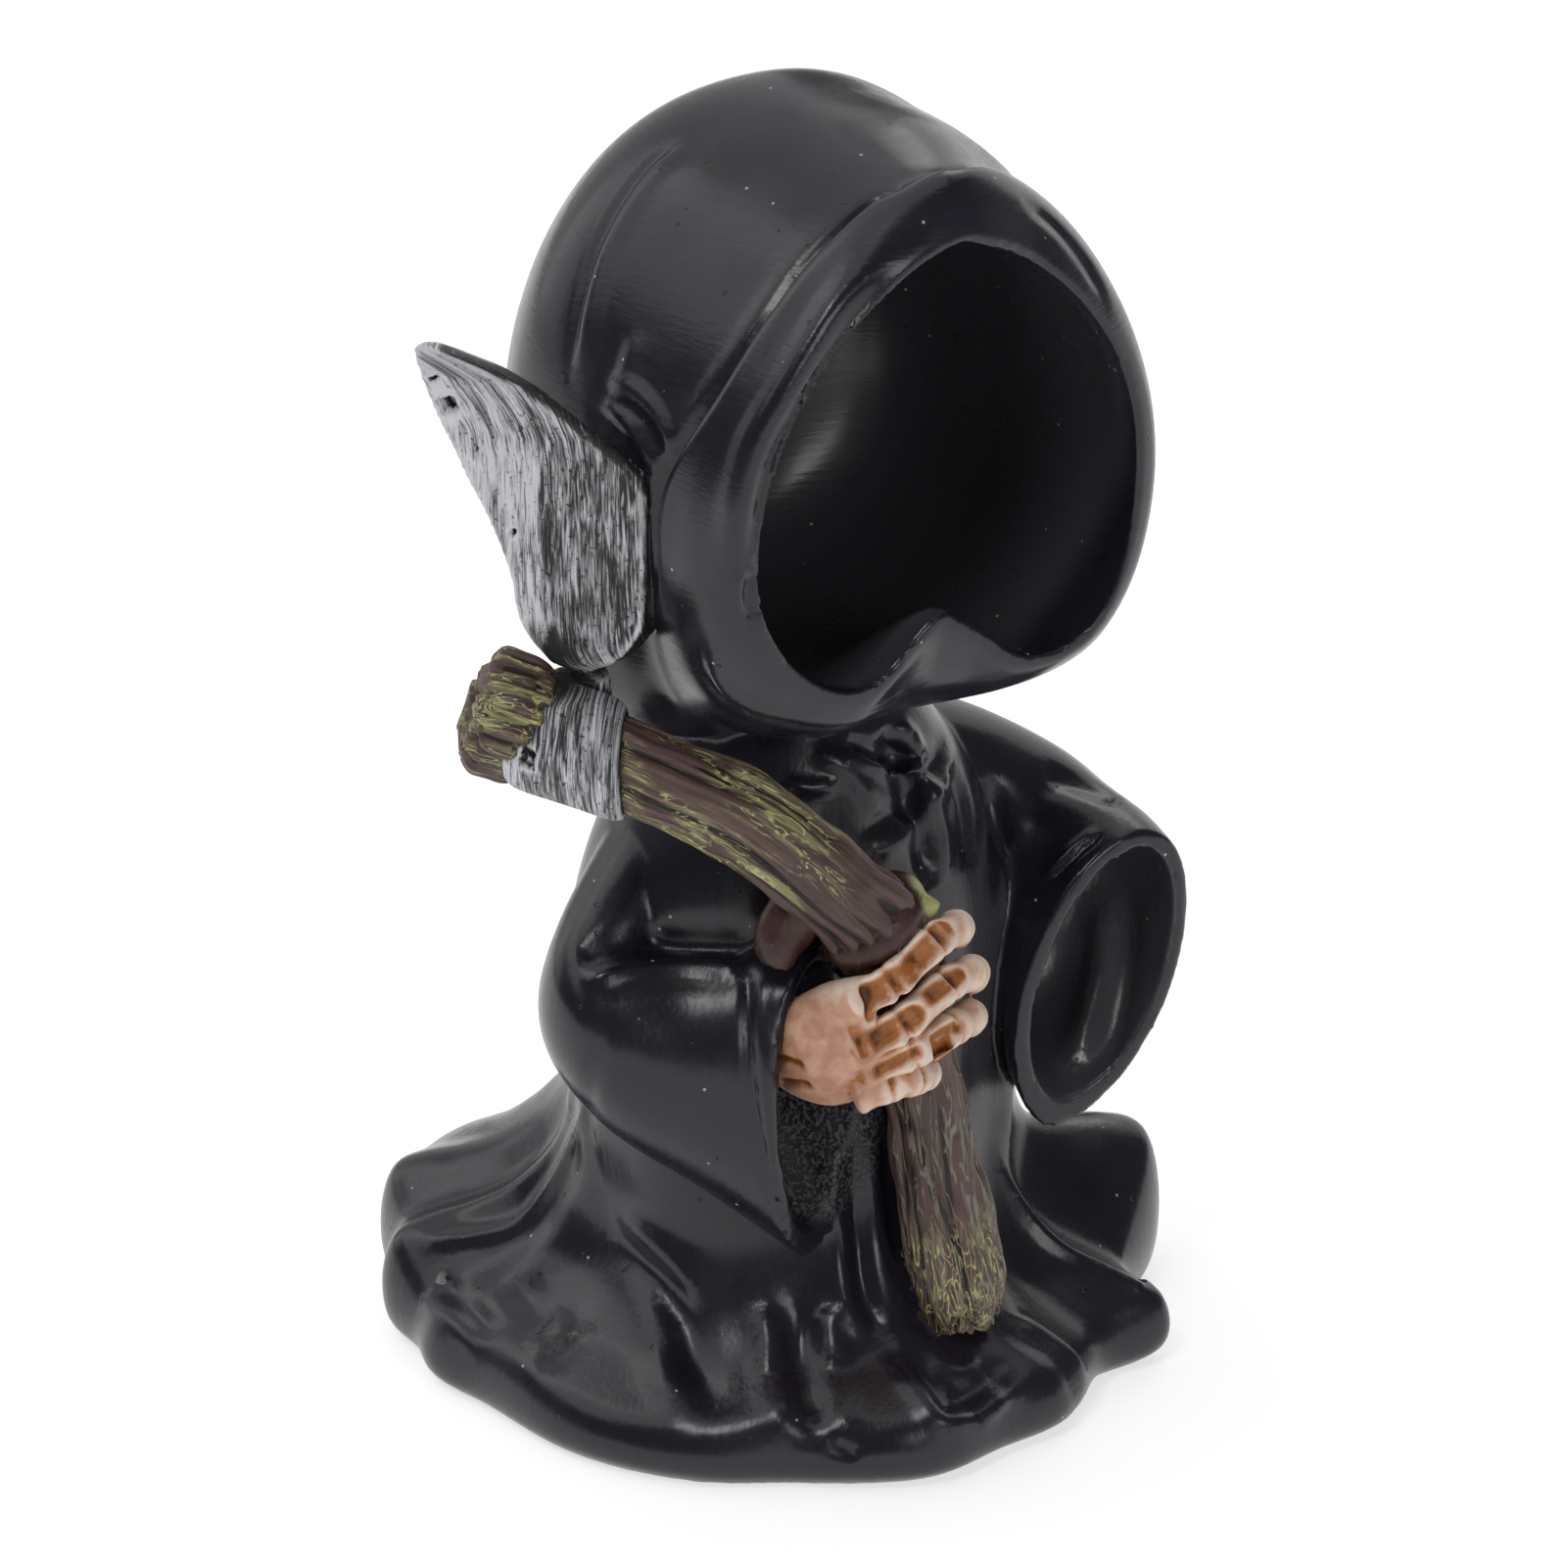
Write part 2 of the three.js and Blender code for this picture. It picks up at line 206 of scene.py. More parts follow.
def edge_ends(mesh):
    """The vertices at the first and at the second end of each edge."""
    ends = np.empty(len(mesh.edges) * 2, np.int32)
    mesh.edges.foreach_get("vertices", ends)
    return ends.reshape(-1, 2).T


def amid_neighbours(points, a, b):
    """The mean place of each point's neighbours, over edges from a to b."""
    count = len(points)
    many = np.bincount(a, minlength=count) + np.bincount(b, minlength=count)
    total = np.empty_like(points)
    for k in range(3):
        total[:, k] = np.bincount(a, points[b, k], count) + np.bincount(b, points[a, k], count)
    return total / np.maximum(many, 1)[:, None]


def relax(piece, rounds):
    """Smooths out ripples that are finer than a few edges, without shrinking the form."""
    a, b = edge_ends(piece.data)
    points = places(piece.data)
    for _ in range(rounds):
        for step in RELAX_STEPS:
            points = points + step * (amid_neighbours(points, a, b) - points)
    put(piece, points)


def rounded_off(mesh, rounds):
    """The places of a mesh after each has been drawn towards its neighbours."""
    a, b = edge_ends(mesh)
    points = places(mesh)
    for _ in range(rounds):
        points = 0.5 * points + 0.5 * amid_neighbours(points, a, b)
    return points


# Modelling strokes. A batch of vertices is as many as are worked on at a time

TRACE_SPACING = 0.4
LOBE_REACH = 2.4
END_SLACK = 0.5
BATCH = 20000


def traced(piece, path):
    """Where the piece is met by the lines of sight along a path in the picture.

    Each point of the path is across, down, and how strong the stroke is there.
    """
    rows = np.array([(*p, 1.0)[:3] for p in path], float)
    length = np.linalg.norm(np.diff(rows[:, :2], axis=0), axis=1).sum() * MM_PER_PIXEL
    t = np.linspace(0, 1, max(int(length / TRACE_SPACING), 4))
    found = []
    for share, (px, py, strength) in zip(t, through(rows, t)):
        hit, place, facing, _ = piece.ray_cast(Vector(EYE), sight(px, py))
        if hit:
            found.append((share, *place, *facing, strength))
    return np.array(found)


def stroke(piece, path, lobes, fades=None, power=2):
    """Raises or lowers the surface along a path.

    Each lobe has a height, how far right of the path it lies, and its width. A higher power gives a
    flatter lobe with steeper sides. The fades are the shares of the path over which the stroke starts
    and ends. A stroke without them goes one way: it moves everything in the mean direction that the
    surface faces there.
    """
    one_way = fades is None
    piece.data.update()
    bpy.context.view_layer.update()
    found = traced(piece, path)
    if len(found) < 3:
        return
    share, spots, up, strength = found[:, 0], found[:, 1:4], unit(found[:, 4:7]), found[:, 7]
    if one_way:
        up = np.broadcast_to(unit(up.mean(0)), up.shape)
    else:
        started = smooth(share, -1e-6, fades[0])
        ended = smooth(share, 1 - fades[1], 1 + 1e-6)
        strength = strength * started * (1 - ended)
    along = unit(np.gradient(spots, axis=0))
    side = unit(np.cross(along, up))
    reach = max(abs(offset) + LOBE_REACH * width for _, offset, width in lobes)
    points, normals = places(piece.data), facings(piece.data)
    near = np.nonzero(((points > spots.min(0) - reach) & (points < spots.max(0) + reach)).all(1))[0]
    moves = np.zeros((len(near), 3))
    for start in range(0, len(near), BATCH):
        some = near[start : start + BATCH]
        gap = points[some][:, None] - spots[None]
        j = (gap**2).sum(2).argmin(1)
        gap = gap[np.arange(len(some)), j]
        run = (gap * along[j]).sum(1)
        off = np.linalg.norm(gap - run[:, None] * along[j], axis=1) * np.sign((gap * side[j]).sum(1))
        past = np.maximum(np.abs(run) - END_SLACK, 0)
        rise = sum(h * np.exp(-(np.abs((off - o) / w) ** power)) * bell(past, w) for h, o, w in lobes)
        turned = (normals[some] * up[j]).sum(1)
        faces_out = smooth(turned, -0.5, 0) if one_way else smooth(turned, 0.0, 0.45)
        ways = up[j] if one_way else normals[some]
        moves[start : start + BATCH] = ways * (rise * strength[j] * faces_out)[:, None]
    points[near] += moves
    put(piece, points)


# The robe from its hem to the neck, as rings about the upright axis

ROBE_PROFILE = [
    # radius, height, share of the folds' reach, of their lift and of their body, shift forward,
    # breadth to the figure's right and to its left
    [25.6, 0.0, 0.8, 0.0, 0, 0.2, 1.0, 1.0],
    [26.8, 1.2, 0.95, 0.1, 0, 0.2, 1.0, 1.0],
    [27.0, 2.8, 1.0, 0.6, 0, 0.2, 1.0, 1.0],
    [26.0, 4.7, 1.0, 1.0, 0, 0.2, 1.0, 1.0],
    [23.6, 6.2, 0.9, 1.0, 0.3, 0.2, 1.0, 1.0],
    [20.4, 8.2, 0.7, 0.8, 0.8, 0.2, 1.0, 1.02],
    [17.6, 11.4, 0.5, 0.5, 1.0, 0.5, 1.0, 1.06],
    [15.2, 16.0, 0.3, 0.3, 0.9, 1.0, 1.06, 1.2],
    [13.8, 22.0, 0.15, 0.1, 0.5, 1.6, 1.2, 1.42],
    [13.2, 30.0, 0.1, 0.0, 0.2, 2.2, 1.3, 1.5],
    [13.2, 38.0, 0.05, 0.0, 0, 2.4, 1.36, 1.46],
    [12.8, 44.0, 0.0, 0.0, 0, 2.4, 1.3, 1.3],
    [11.4, 50.0, 0.0, 0.0, 0, 2.6, 1.2, 1.2],
    [9.0, 55.0, 0.0, 0.0, 0, 3.4, 1.1, 1.1],
    [6.0, 59.0, 0.0, 0.0, 0, 4.0, 1.1, 1.1],
]
FOLDS = [
    # angle from the front towards the figure's left, spread, reach, lift, body
    (-178, 15, 1.0, 5.5, 1.5),
    (-156, 12, 5.0, 2.9, 4.0),
    (-141, 9, 4.4, 4.0, 0.5),
    (-124, 9, 3.6, 3.6, 0.8),
    (-106, 8, 1.6, 0.6, 0),
    (-88, 14, -0.6, 1.0, -0.5),
    (-34, 8, -0.6, 0.8, 0),
    (-8, 12, 1.8, 0.6, 0),
    (18, 10, 1.6, 0.8, 0),
    (46, 7, 4.4, 1.0, 0),
    (78, 15, 6.0, 7.0, 0),
    (112, 13, 2.0, 3.0, 0),
    (146, 13, 2.5, 5.0, 1.5),
]


def robe_form():
    angle = turn_round(360)
    degrees = np.degrees(angle)
    reach, lift, body = np.zeros((3, 360))
    for at, spread, out, up, fuller in FOLDS:
        share = bell((degrees - at + 180) % 360 - 180, spread)
        reach += out * share
        lift += up * share
        body += fuller * share
    rings = []
    for row in through(ROBE_PROFILE, np.linspace(0, 1, 113)):
        radius, height, out, up, full, forward, right, left = row
        r = radius + out * reach + full * body
        breadth = right + (left - right) * smooth(np.sin(angle), -0.4, 0.4)
        x, y = breadth * r * np.sin(angle), -r * np.cos(angle) - forward
        rings.append(np.stack([x, y, height + up * lift], 1))
    return skin("robe", rings)


# The hood is rings across its depth, from the crown at the back to the lip of the opening

HOOD_MIDDLE = 0.3
HOOD_OUTSIDE = [
    # depth, half width, top, widest height, bottom, upper roundness, lower roundness to the figure's
    # right and to its left, notch, lean, and for the brow on the figure's left its own upper roundness
    # and how far it stands proud
    [17.5, 1.5, 80.0, 78, 76.0, 1, 1, 1, 0, 0, 1, 0],
    [16.6, 6.8, 86.6, 78, 70.2, 1, 1, 1, 0, 0, 1, 0],
    [13.8, 12.8, 93.8, 78, 64.6, 0.96, 1, 1, 0, 0, 0.96, 0],
    [9.4, 18.0, 99.6, 78, 60.0, 0.92, 0.9, 1, 0, 0, 0.92, 0],
    [3.4, 21.5, 103.4, 78, 56.6, 0.9, 0.6, 0.9, 0, 0, 0.92, 0],
    [-3.0, 22.2, 103.9, 78, 55.2, 0.98, 0.42, 0.8, 0, 0.4, 0.99, -0.2],
    [-8.4, 21.2, 102.8, 78, 55.4, 1.14, 0.42, 0.7, 0, 1.6, 1.06, 0.8],
    [-12.6, 20.2, 101.6, 78, 56.4, 1.3, 0.52, 0.7, 0, 3.4, 1.1, 0.4],
    [-15.2, 20.7, 102.4, 77, 57.0, 1.38, 0.6, 0.6, 0, 3.0, 1.14, 0.3],
    [-18.0, 20.9, 102.9, 76, 58.0, 1.44, 0.65, 0.5, 0.1, 2.0, 1.2, 0.1],
    [-20.6, 20.4, 102.2, 76, 59.6, 1.42, 0.7, 0.5, 0.4, 1.2, 1.3, -0.2],
    [-22.3, 19.4, 100.4, 76.5, 61.0, 1.36, 0.75, 0.5, 0.8, 1, 1.38, -0.5],
    [-23.0, 17.8, 99.2, 77, 61.8, 1.3, 0.8, 0.45, 1, 1, 1.36, -0.5],
]
HOOD_INSIDE = [
    # the same columns, from the opening to the back of the hollow
    [-25.0, 17.6, 98.8, 77, 62.6, 1.27, 0.87, 0.4, 1, 1, 1.35, -0.4],
    [-21.5, 17.3, 98.4, 77, 62.8, 1.27, 0.87, 0.4, 1, 1, 1.35, -0.4],
    [-17.0, 17.8, 98.8, 77, 62.0, 1.2, 0.87, 0.6, 0.7, 0.8, 1.2, 0],
    [-10.0, 18.0, 99.4, 78, 60.8, 1.1, 0.9, 0.9, 0.2, 0, 1.1, 0],
    [-2.0, 18.6, 100.4, 78, 60.4, 0.95, 0.9, 1, 0, 0, 0.95, 0],
    [4.5, 17.6, 98.0, 78, 61.8, 0.95, 1, 1, 0, 0, 0.95, 0],
    [8.0, 15.0, 94.6, 78, 64.6, 0.96, 1, 1, 0, 0, 0.96, 0],
    [9.7, 11.0, 90.0, 78, 68.4, 1, 1, 1, 0, 0, 1.0, 0],
    [10.4, 5.6, 84.2, 78, 73.2, 1, 1, 1, 0, 0, 1.0, 0],
    [10.5, 1.5, 80.0, 78, 76.0, 1, 1, 1, 0, 0, 1.0, 0],
]
NOTCH_HEIGHT = 6.0
NOTCH_SPREAD = 5.0
LEAN_STEP = 0.06
LEAN_HEIGHT = 77


def hood_form(name, stations):
    """The outside or the hollow of the hood, as rings across its depth."""
    angle = turn_round(240)
    s, c = np.sin(angle), np.cos(angle)
    rings = []
    for row in through(stations, np.linspace(0, 1, 10 * len(stations))):
        y, half, top, wide, bottom, upper, right, left, notch, lean, brow, proud = row
        roundness = np.where(c > 0, np.where(s > 0, brow, upper), np.where(s > 0, left, right))
        more = proud * smooth(s, -0.1, 0.3)
        x = (half + more) * np.sign(s) * np.abs(s) ** roundness
        z = wide + c * np.where(c > 0, top + more - wide, wide - bottom)
        raised = np.where(c < 0, notch * NOTCH_HEIGHT * bell(x, NOTCH_SPREAD), 0)
        lean = lean * (1 - 0.8 * smooth(s, 0.15, 0.6))
        depth = y - LEAN_STEP * lean * (z - LEAN_HEIGHT)
        rings.append(np.stack([x + HOOD_MIDDLE, depth, z + raised], 1))
    return skin(name, rings)


# A sleeve is sections along the arm: centre, half width, rise, drop, turn from the front towards the
# figure's left, pitch upwards, lean of the section to the figure's left, and how pointed its drop is

SLEEVE_WALL = 1.4
RIGHT_SLEEVE = [
    [-6, -1, 50, 6, 4, 6, -60, -15, 0, 1],
    [-9.4, -2, 46, 5.6, 5, 8, -45, -35, 0, 1],
    [-16.0, -3.8, 39.3, 7.4, 5, 8.5, 5, -40, 0, 1],
    [-17.0, -7.0, 35.0, 7.6, 6, 9, 28, -12, 0, 1],
    [-12.6, -11.2, 32.0, 7.4, 8.6, 11.2, 30, 0, 0, 1.1],
    [-7.8, -16.8, 30, 6.7, 11.8, 14.3, 26, 0, 0, 1.15],
]
LEFT_SLEEVE = [
    [6, -1, 50, 6, 4, 6, 60, -10, 0, 1],
    [13, -1.5, 45.5, 7, 6, 8, 45, -25, 0, 1],
    [18.4, -4, 40.4, 7.8, 7.8, 12, 20, -25, 8, 1],
    [20.2, -8, 36.4, 7.8, 9.4, 13, 5, -12, 14, 1],
    [20.3, -12.4, 33.6, 7.4, 11.2, 12.4, -3, -4, 19, 1.1],
    [19.4, -16.7, 31.8, 6.9, 12.2, 12.6, -5, 0, 22, 1.15],
]
HOLLOW_STEPS = [
    # share of the way in from the cuff, and how much narrower the hollow is there
    [0, 0],
    [0.4, 0.2],
    [0.75, 0.8],
    [0.93, 2.0],
    [1, 3.4],
]


def section(row, grow=0.0, forward=0.0):
    """One ring of a sleeve. It can be grown by a wall, which counts more at the drop, and moved on."""
    half, rise, drop, turn, pitch, lean, pointed = row[3:]
    pose = (
        Matrix.Rotation(math.radians(turn), 3, "Z")
        @ Matrix.Rotation(math.radians(-pitch), 3, "X")
        @ Matrix.Rotation(math.radians(lean), 3, "Y")
    )
    side, facing, up = (np.array(pose @ Vector(v)) for v in ((1, 0, 0), (0, -1, 0), (0, 0, 1)))
    angle = turn_round(120)
    s, c = np.sin(angle), np.cos(angle)
    across = (half + grow) * np.sign(s) * np.abs(s) ** np.where(c < 0, pointed, 1)
    high = c * np.where(c > 0, rise + grow, drop + 1.6 * grow)
    return row[:3] + forward * facing + across[:, None] * side + high[:, None] * up


def arm_form(name, stations):
    """A sleeve or the palm, through its sections."""
    return skin(name, [section(row) for row in through(stations, np.linspace(0, 1, 90))])


def sleeve_hollow(name, stations, end):
    """The hollow of a sleeve follows its sections back from the cuff, inside the wall.

    Its end is the share of the way along the arm at which the hollow stops.
    """
    rings = [section(np.asarray(stations[-1], float), -SLEEVE_WALL, 2.0)]
    for share, drawn in through(HOLLOW_STEPS, np.linspace(0, 1, 60)):
        row = through(stations, 1 - (1 - end) * share)[0]
        rings.append(section(row, -SLEEVE_WALL - drawn))
    return skin(name, rings)


CLOTH_VOXEL = 0.3
RIGHT_HOLLOW_END = 0.72
LEFT_HOLLOW_END = 0.58
cloth = joined(
    "cloth",
    [
        robe_form(),
        hood_form("hood", HOOD_OUTSIDE),
        arm_form("right sleeve", RIGHT_SLEEVE),
        arm_form("left sleeve", LEFT_SLEEVE),
    ],
)
revoxel(cloth, CLOTH_VOXEL)
for cutter in (
    hood_form("hood hollow", HOOD_INSIDE),
    sleeve_hollow("right hollow", RIGHT_SLEEVE, RIGHT_HOLLOW_END),
    sleeve_hollow("left hollow", LEFT_SLEEVE, LEFT_HOLLOW_END),
):
    combine(cloth, cutter, "DIFFERENCE")
revoxel(cloth, CLOTH_VOXEL)
relax(cloth, 10)

# Nodes


def add(tree, kind, sockets=None, **settings):
    """Adds a node. Each socket is set to a value, or linked where an output is given."""
    made = tree.nodes.new(kind)
    for key, value in settings.items():
        setattr(made, key, value)
    for key, value in (sockets or {}).items():
        if isinstance(value, bpy.types.NodeSocket):
            tree.links.new(value, made.inputs[key])
        else:
            made.inputs[key].default_value = value
    return made


def grown(piece, tree, **inputs):
    """The piece after a geometry tree has worked on it, as plain mesh."""
    modifier = piece.modifiers.new(tree.name, "NODES")
    modifier.node_group = tree
    for item in tree.interface.items_tree:
        key = item.name.replace(" ", "_").lower()
        if item.item_type == "SOCKET" and item.in_out == "INPUT" and key in inputs:
            modifier[item.identifier] = inputs[key]
    return settled(piece)


def geometry_tree(name, inputs):
    """A geometry tree with named inputs, and its input and output nodes."""
    tree = bpy.data.node_groups.new(name, "GeometryNodeTree")
    tree.interface.new_socket("Geometry", in_out="INPUT", socket_type="NodeSocketGeometry")
    for label, (kind, value) in inputs.items():
        socket = tree.interface.new_socket(label, in_out="INPUT", socket_type=kind)
        if value is not None:
            socket.default_value = value
    tree.interface.new_socket("Geometry", in_out="OUTPUT", socket_type="NodeSocketGeometry")
    return tree, add(tree, "NodeGroupInput"), add(tree, "NodeGroupOutput")


def named_vector(tree, name):
    """A vector attribute of the mesh, for a geometry tree."""
    sockets = {"Name": name}
    node = add(tree, "GeometryNodeInputNamedAttribute", sockets, data_type="FLOAT_VECTOR")
    return node.outputs[0]


def dress_and_end(tree, last, given, out):
    """Ends a geometry tree: its instances are made real and get the material."""
    real = add(tree, "GeometryNodeRealizeInstances", {"Geometry": last.outputs[0]})
    sockets = {"Geometry": real.outputs[0], "Material": given.outputs["Material"]}
    dressed = add(tree, "GeometryNodeSetMaterial", sockets)
    tree.links.new(dressed.outputs[0], out.inputs[0])


def linear(hex_colour):
    """An sRGB hex colour as a linear colour."""
    out = []
    for i in (0, 2, 4):
        v = int(hex_colour[i : i + 2], 16) / 255
        out.append(v / 12.92 if v <= 0.04045 else ((v + 0.055) / 1.055) ** 2.4)
    return (*out, 1)


def paint(name, **sockets):
    """A material with constants on its shader's sockets, its tree and its shader."""
    made = bpy.data.materials.new(name)
    made.use_nodes = True
    shader = made.node_tree.nodes["Principled BSDF"]
    for key, value in sockets.items():
        shader.inputs[key.replace("_", " ")].default_value = value
    return made, made.node_tree, shader


def millimetres(tree):
    """The place on the piece, in millimetres."""
    place = add(tree, "ShaderNodeTexCoord").outputs["Object"]
    sockets = {0: place, "Scale": MM_PER_METRE}
    return add(tree, "ShaderNodeVectorMath", sockets, operation="SCALE").outputs[0]


def own(tree, name, output="Vector"):
    """One of the piece's own attributes, kept by mark."""
    return add(tree, "ShaderNodeAttribute", attribute_name=name).outputs[output]


def away_from(tree, place, spot):
    """How far each place is from one spot."""
    return add(tree, "ShaderNodeVectorMath", {0: place, 1: spot}, operation="DISTANCE").outputs["Value"]


def grain(tree, place, size, detail=3.0, drawn=(1, 1, 1), bent=0.0):
    """Noise from 0 to 1. Its features have a size in millimetres and can be drawn out along an axis."""
    finer = tuple(1 / (size * d) for d in drawn)
    shape = add(tree, "ShaderNodeVectorMath", {0: place, 1: finer}, operation="MULTIPLY").outputs[0]
    sockets = {"Vector": shape, "Scale": 1.0, "Detail": detail, "Distortion": bent}
    return add(tree, "ShaderNodeTexNoise", sockets).outputs["Fac"]


def round_spots(tree, place, spacing, radius):
    """Round spots where small balls, spread through the piece, meet its surface."""
    sockets = {"Vector": place, "Scale": 1 / spacing}
    near = add(tree, "ShaderNodeTexVoronoi", sockets).outputs["Distance"]
    return soft_step(tree, near, radius / spacing, 0.6 * radius / spacing)


def soft_step(tree, value, low, high, start=0.0, end=1.0):
    """A soft step of a socket's value, from start at low to end at high."""
    sockets = {0: value, 1: low, 2: high, 3: start, 4: end}
    return add(tree, "ShaderNodeMapRange", sockets, interpolation_type="SMOOTHSTEP").outputs[0]


def worked(tree, operation, *values):
    """The result of a sum on sockets or numbers."""
    return add(tree, "ShaderNodeMath", dict(enumerate(values)), operation=operation).outputs[0]


def mixed(tree, share, first, second):
    """The first colour, and a share of the second over it."""
    return add(tree, "ShaderNodeMix", {0: share, 6: first, 7: second}, data_type="RGBA").outputs[2]


def lines(tree, noise, width):
    """Thin lines where a noise crosses its middle."""
    away = worked(tree, "ABSOLUTE", worked(tree, "SUBTRACT", noise, 0.5))
    return soft_step(tree, away, width, 0.4 * width)


def finish(tree, shader, colour, roughness, *reliefs):
    """Links the colour, the roughness and reliefs, each a height from 0 to 1 and its millimetres."""
    tree.links.new(colour, shader.inputs["Base Color"])
    tree.links.new(roughness, shader.inputs["Roughness"])
    normal = None
    for height, size in reliefs:
        sockets = {"Height": height, "Distance": size / MM_PER_METRE}
        if normal is not None:
            sockets["Normal"] = normal
        normal = add(tree, "ShaderNodeBump", sockets).outputs["Normal"]
    tree.links.new(normal, shader.inputs["Normal"])


# Spots on the figurine where the paint differs, and a stretch so long that a noise doesn't change

SANDY_SPOT = (-6.0, -14.0, 24.0)
NUB_TIP = (-0.6, -21.6, 46.2)
BLADE_FOOT = (-27.0, -9.0, 66.4)
PALM_CENTRE = (-10.0, -20.5, 35.0)
UNCHANGING = 1000


def black_paint():
    """Semi-gloss black acrylic: soft reflections, faint brush marks, dust specks and pinholes.

    It is painted a lighter grey in the hollows of the hood and the left sleeve, as painted light where
    light reaches into them, and it is sandy inside the right cuff.
    """
    made, tree, shader = paint("semi_gloss_black_paint", IOR=1.48)
    place = millimetres(tree)
    upright = grain(tree, place, 0.4, 4.0, (1, 1, 12), 0.4)
    level = grain(tree, place, 0.35, 4.0, (14, 5, 1), 0.5)
    height = add(tree, "ShaderNodeSeparateXYZ", {0: place}).outputs["Z"]
    hood_share = soft_step(tree, height, 54.0, 62.0)
    brushed = add(tree, "ShaderNodeMix", {0: hood_share, 2: upright, 3: level}).outputs[0]
    cloudy = grain(tree, place, 7.0, 3.0)
    dust = round_spots(tree, place, 2.7, 0.15)
    pinholes = round_spots(tree, place, 3.3, 0.2)
    cuff = soft_step(tree, away_from(tree, place, SANDY_SPOT), 7.0, 4.5)
    sand = soft_step(tree, grain(tree, place, 0.3, 4.0), 0.46, 0.62)
    sandy = worked(tree, "MULTIPLY", cuff, sand)
    colour = mixed(tree, soft_step(tree, cloudy, 0.3, 0.7), linear("19171f"), linear("201d27"))
    # Painted light: the hollows of the hood and the left sleeve are painted a lighter grey, standing in
    # for the light that reaches into them.
    colour = mixed(tree, own(tree, "inside", "Fac"), colour, linear("3f3e43"))
    colour = mixed(tree, worked(tree, "MULTIPLY", sandy, 0.55), colour, linear("6a6866"))
    colour = mixed(tree, worked(tree, "MULTIPLY", dust, 0.8), colour, linear("b4b4b6"))
    roughness = soft_step(tree, worked(tree, "MULTIPLY_ADD", brushed, 0.5, cloudy), 0.5, 1.0, 0.2, 0.31)
    roughness = worked(tree, "MULTIPLY_ADD", sandy, 0.4, roughness)
    solid = worked(tree, "SUBTRACT", 1.0, pinholes)
    finish(tree, shader, colour, roughness, (brushed, 0.02), (sandy, 0.06), (solid, 0.12))
    return made


def bark_paint():
    """Chocolate brown acrylic with olive and yellow-green brushed along it, dark in the grooves.

    The lower staff has thin grey lines instead, and yellow-green at its foot.
    """
    made, tree, shader = paint("brushed_brown_bark_paint", IOR=1.47)
    run = own(tree, "run")
    far = add(tree, "ShaderNodeSeparateXYZ", {0: run}).outputs["Z"]
    hollow = own(tree, "hollow", "Fac")
    streaks = grain(tree, run, 0.6, 3.0, (1, 1, 14), 0.5)
    broad = grain(tree, run, 2.6, 3.0, (1, 1, 3.5), 0.5)
    colour = mixed(tree, soft_step(tree, streaks, 0.38, 0.62), linear("43302b"), linear("5d4641"))
    colour = mixed(tree, soft_step(tree, hollow, 0.015, 0.08), colour, linear("170f0d"))
    low = soft_step(tree, far, 40.0, 34.0)
    high = soft_step(tree, far, 42.0, 47.0)
    wavy = lines(tree, grain(tree, run, 1.0, 2.0, (1, 1, 11), 1.2), 0.035)
    grey = worked(tree, "MULTIPLY", low, worked(tree, "MULTIPLY", wavy, 0.75))
    colour = mixed(tree, grey, colour, linear("828070"))
    patches = worked(tree, "MULTIPLY", high, soft_step(tree, broad, 0.45, 0.58))
    brushed = worked(tree, "MULTIPLY", patches, soft_step(tree, streaks, 0.46, 0.58))
    colour = mixed(tree, worked(tree, "MULTIPLY", brushed, 0.85), colour, linear("8b8a60"))
    yellow = lines(tree, grain(tree, run, 0.8, 2.0, (1, 1, 6), 1.6), 0.03)
    foot = worked(tree, "MULTIPLY", soft_step(tree, far, 11.0, 7.0), 0.8)
    ends = worked(tree, "MAXIMUM", patches, foot)
    colour = mixed(tree, worked(tree, "MULTIPLY", yellow, ends), colour, linear("bab87a"))
    roughness = soft_step(tree, streaks, 0.3, 0.7, 0.42, 0.6)
    finish(tree, shader, colour, roughness, (streaks, 0.12), (wavy, 0.03))
    return made


def knot_paint():
    """Flat purple-brown acrylic, smooth and a little glossy, with a trace of orange and an olive nub."""
    made, tree, shader = paint("flat_brown_knot_paint", IOR=1.47)
    place = millimetres(tree)
    cloudy = grain(tree, place, 1.6, 4.0, bent=0.6)
    colour = mixed(tree, soft_step(tree, cloudy, 0.35, 0.65), linear("2a120d"), linear("40211a"))
    orange = soft_step(tree, grain(tree, place, 0.5, 3.0), 0.62, 0.7)
    colour = mixed(tree, orange, colour, linear("5e3524"))
    nub = soft_step(tree, away_from(tree, place, NUB_TIP), 2.4, 1.4)
    olive = worked(tree, "MULTIPLY", nub, soft_step(tree, cloudy, 0.3, 0.5))
    colour = mixed(tree, olive, colour, linear("a3a463"))
    finish(tree, shader, colour, soft_step(tree, cloudy, 0.3, 0.7, 0.36, 0.5), (cloudy, 0.1))
    return made


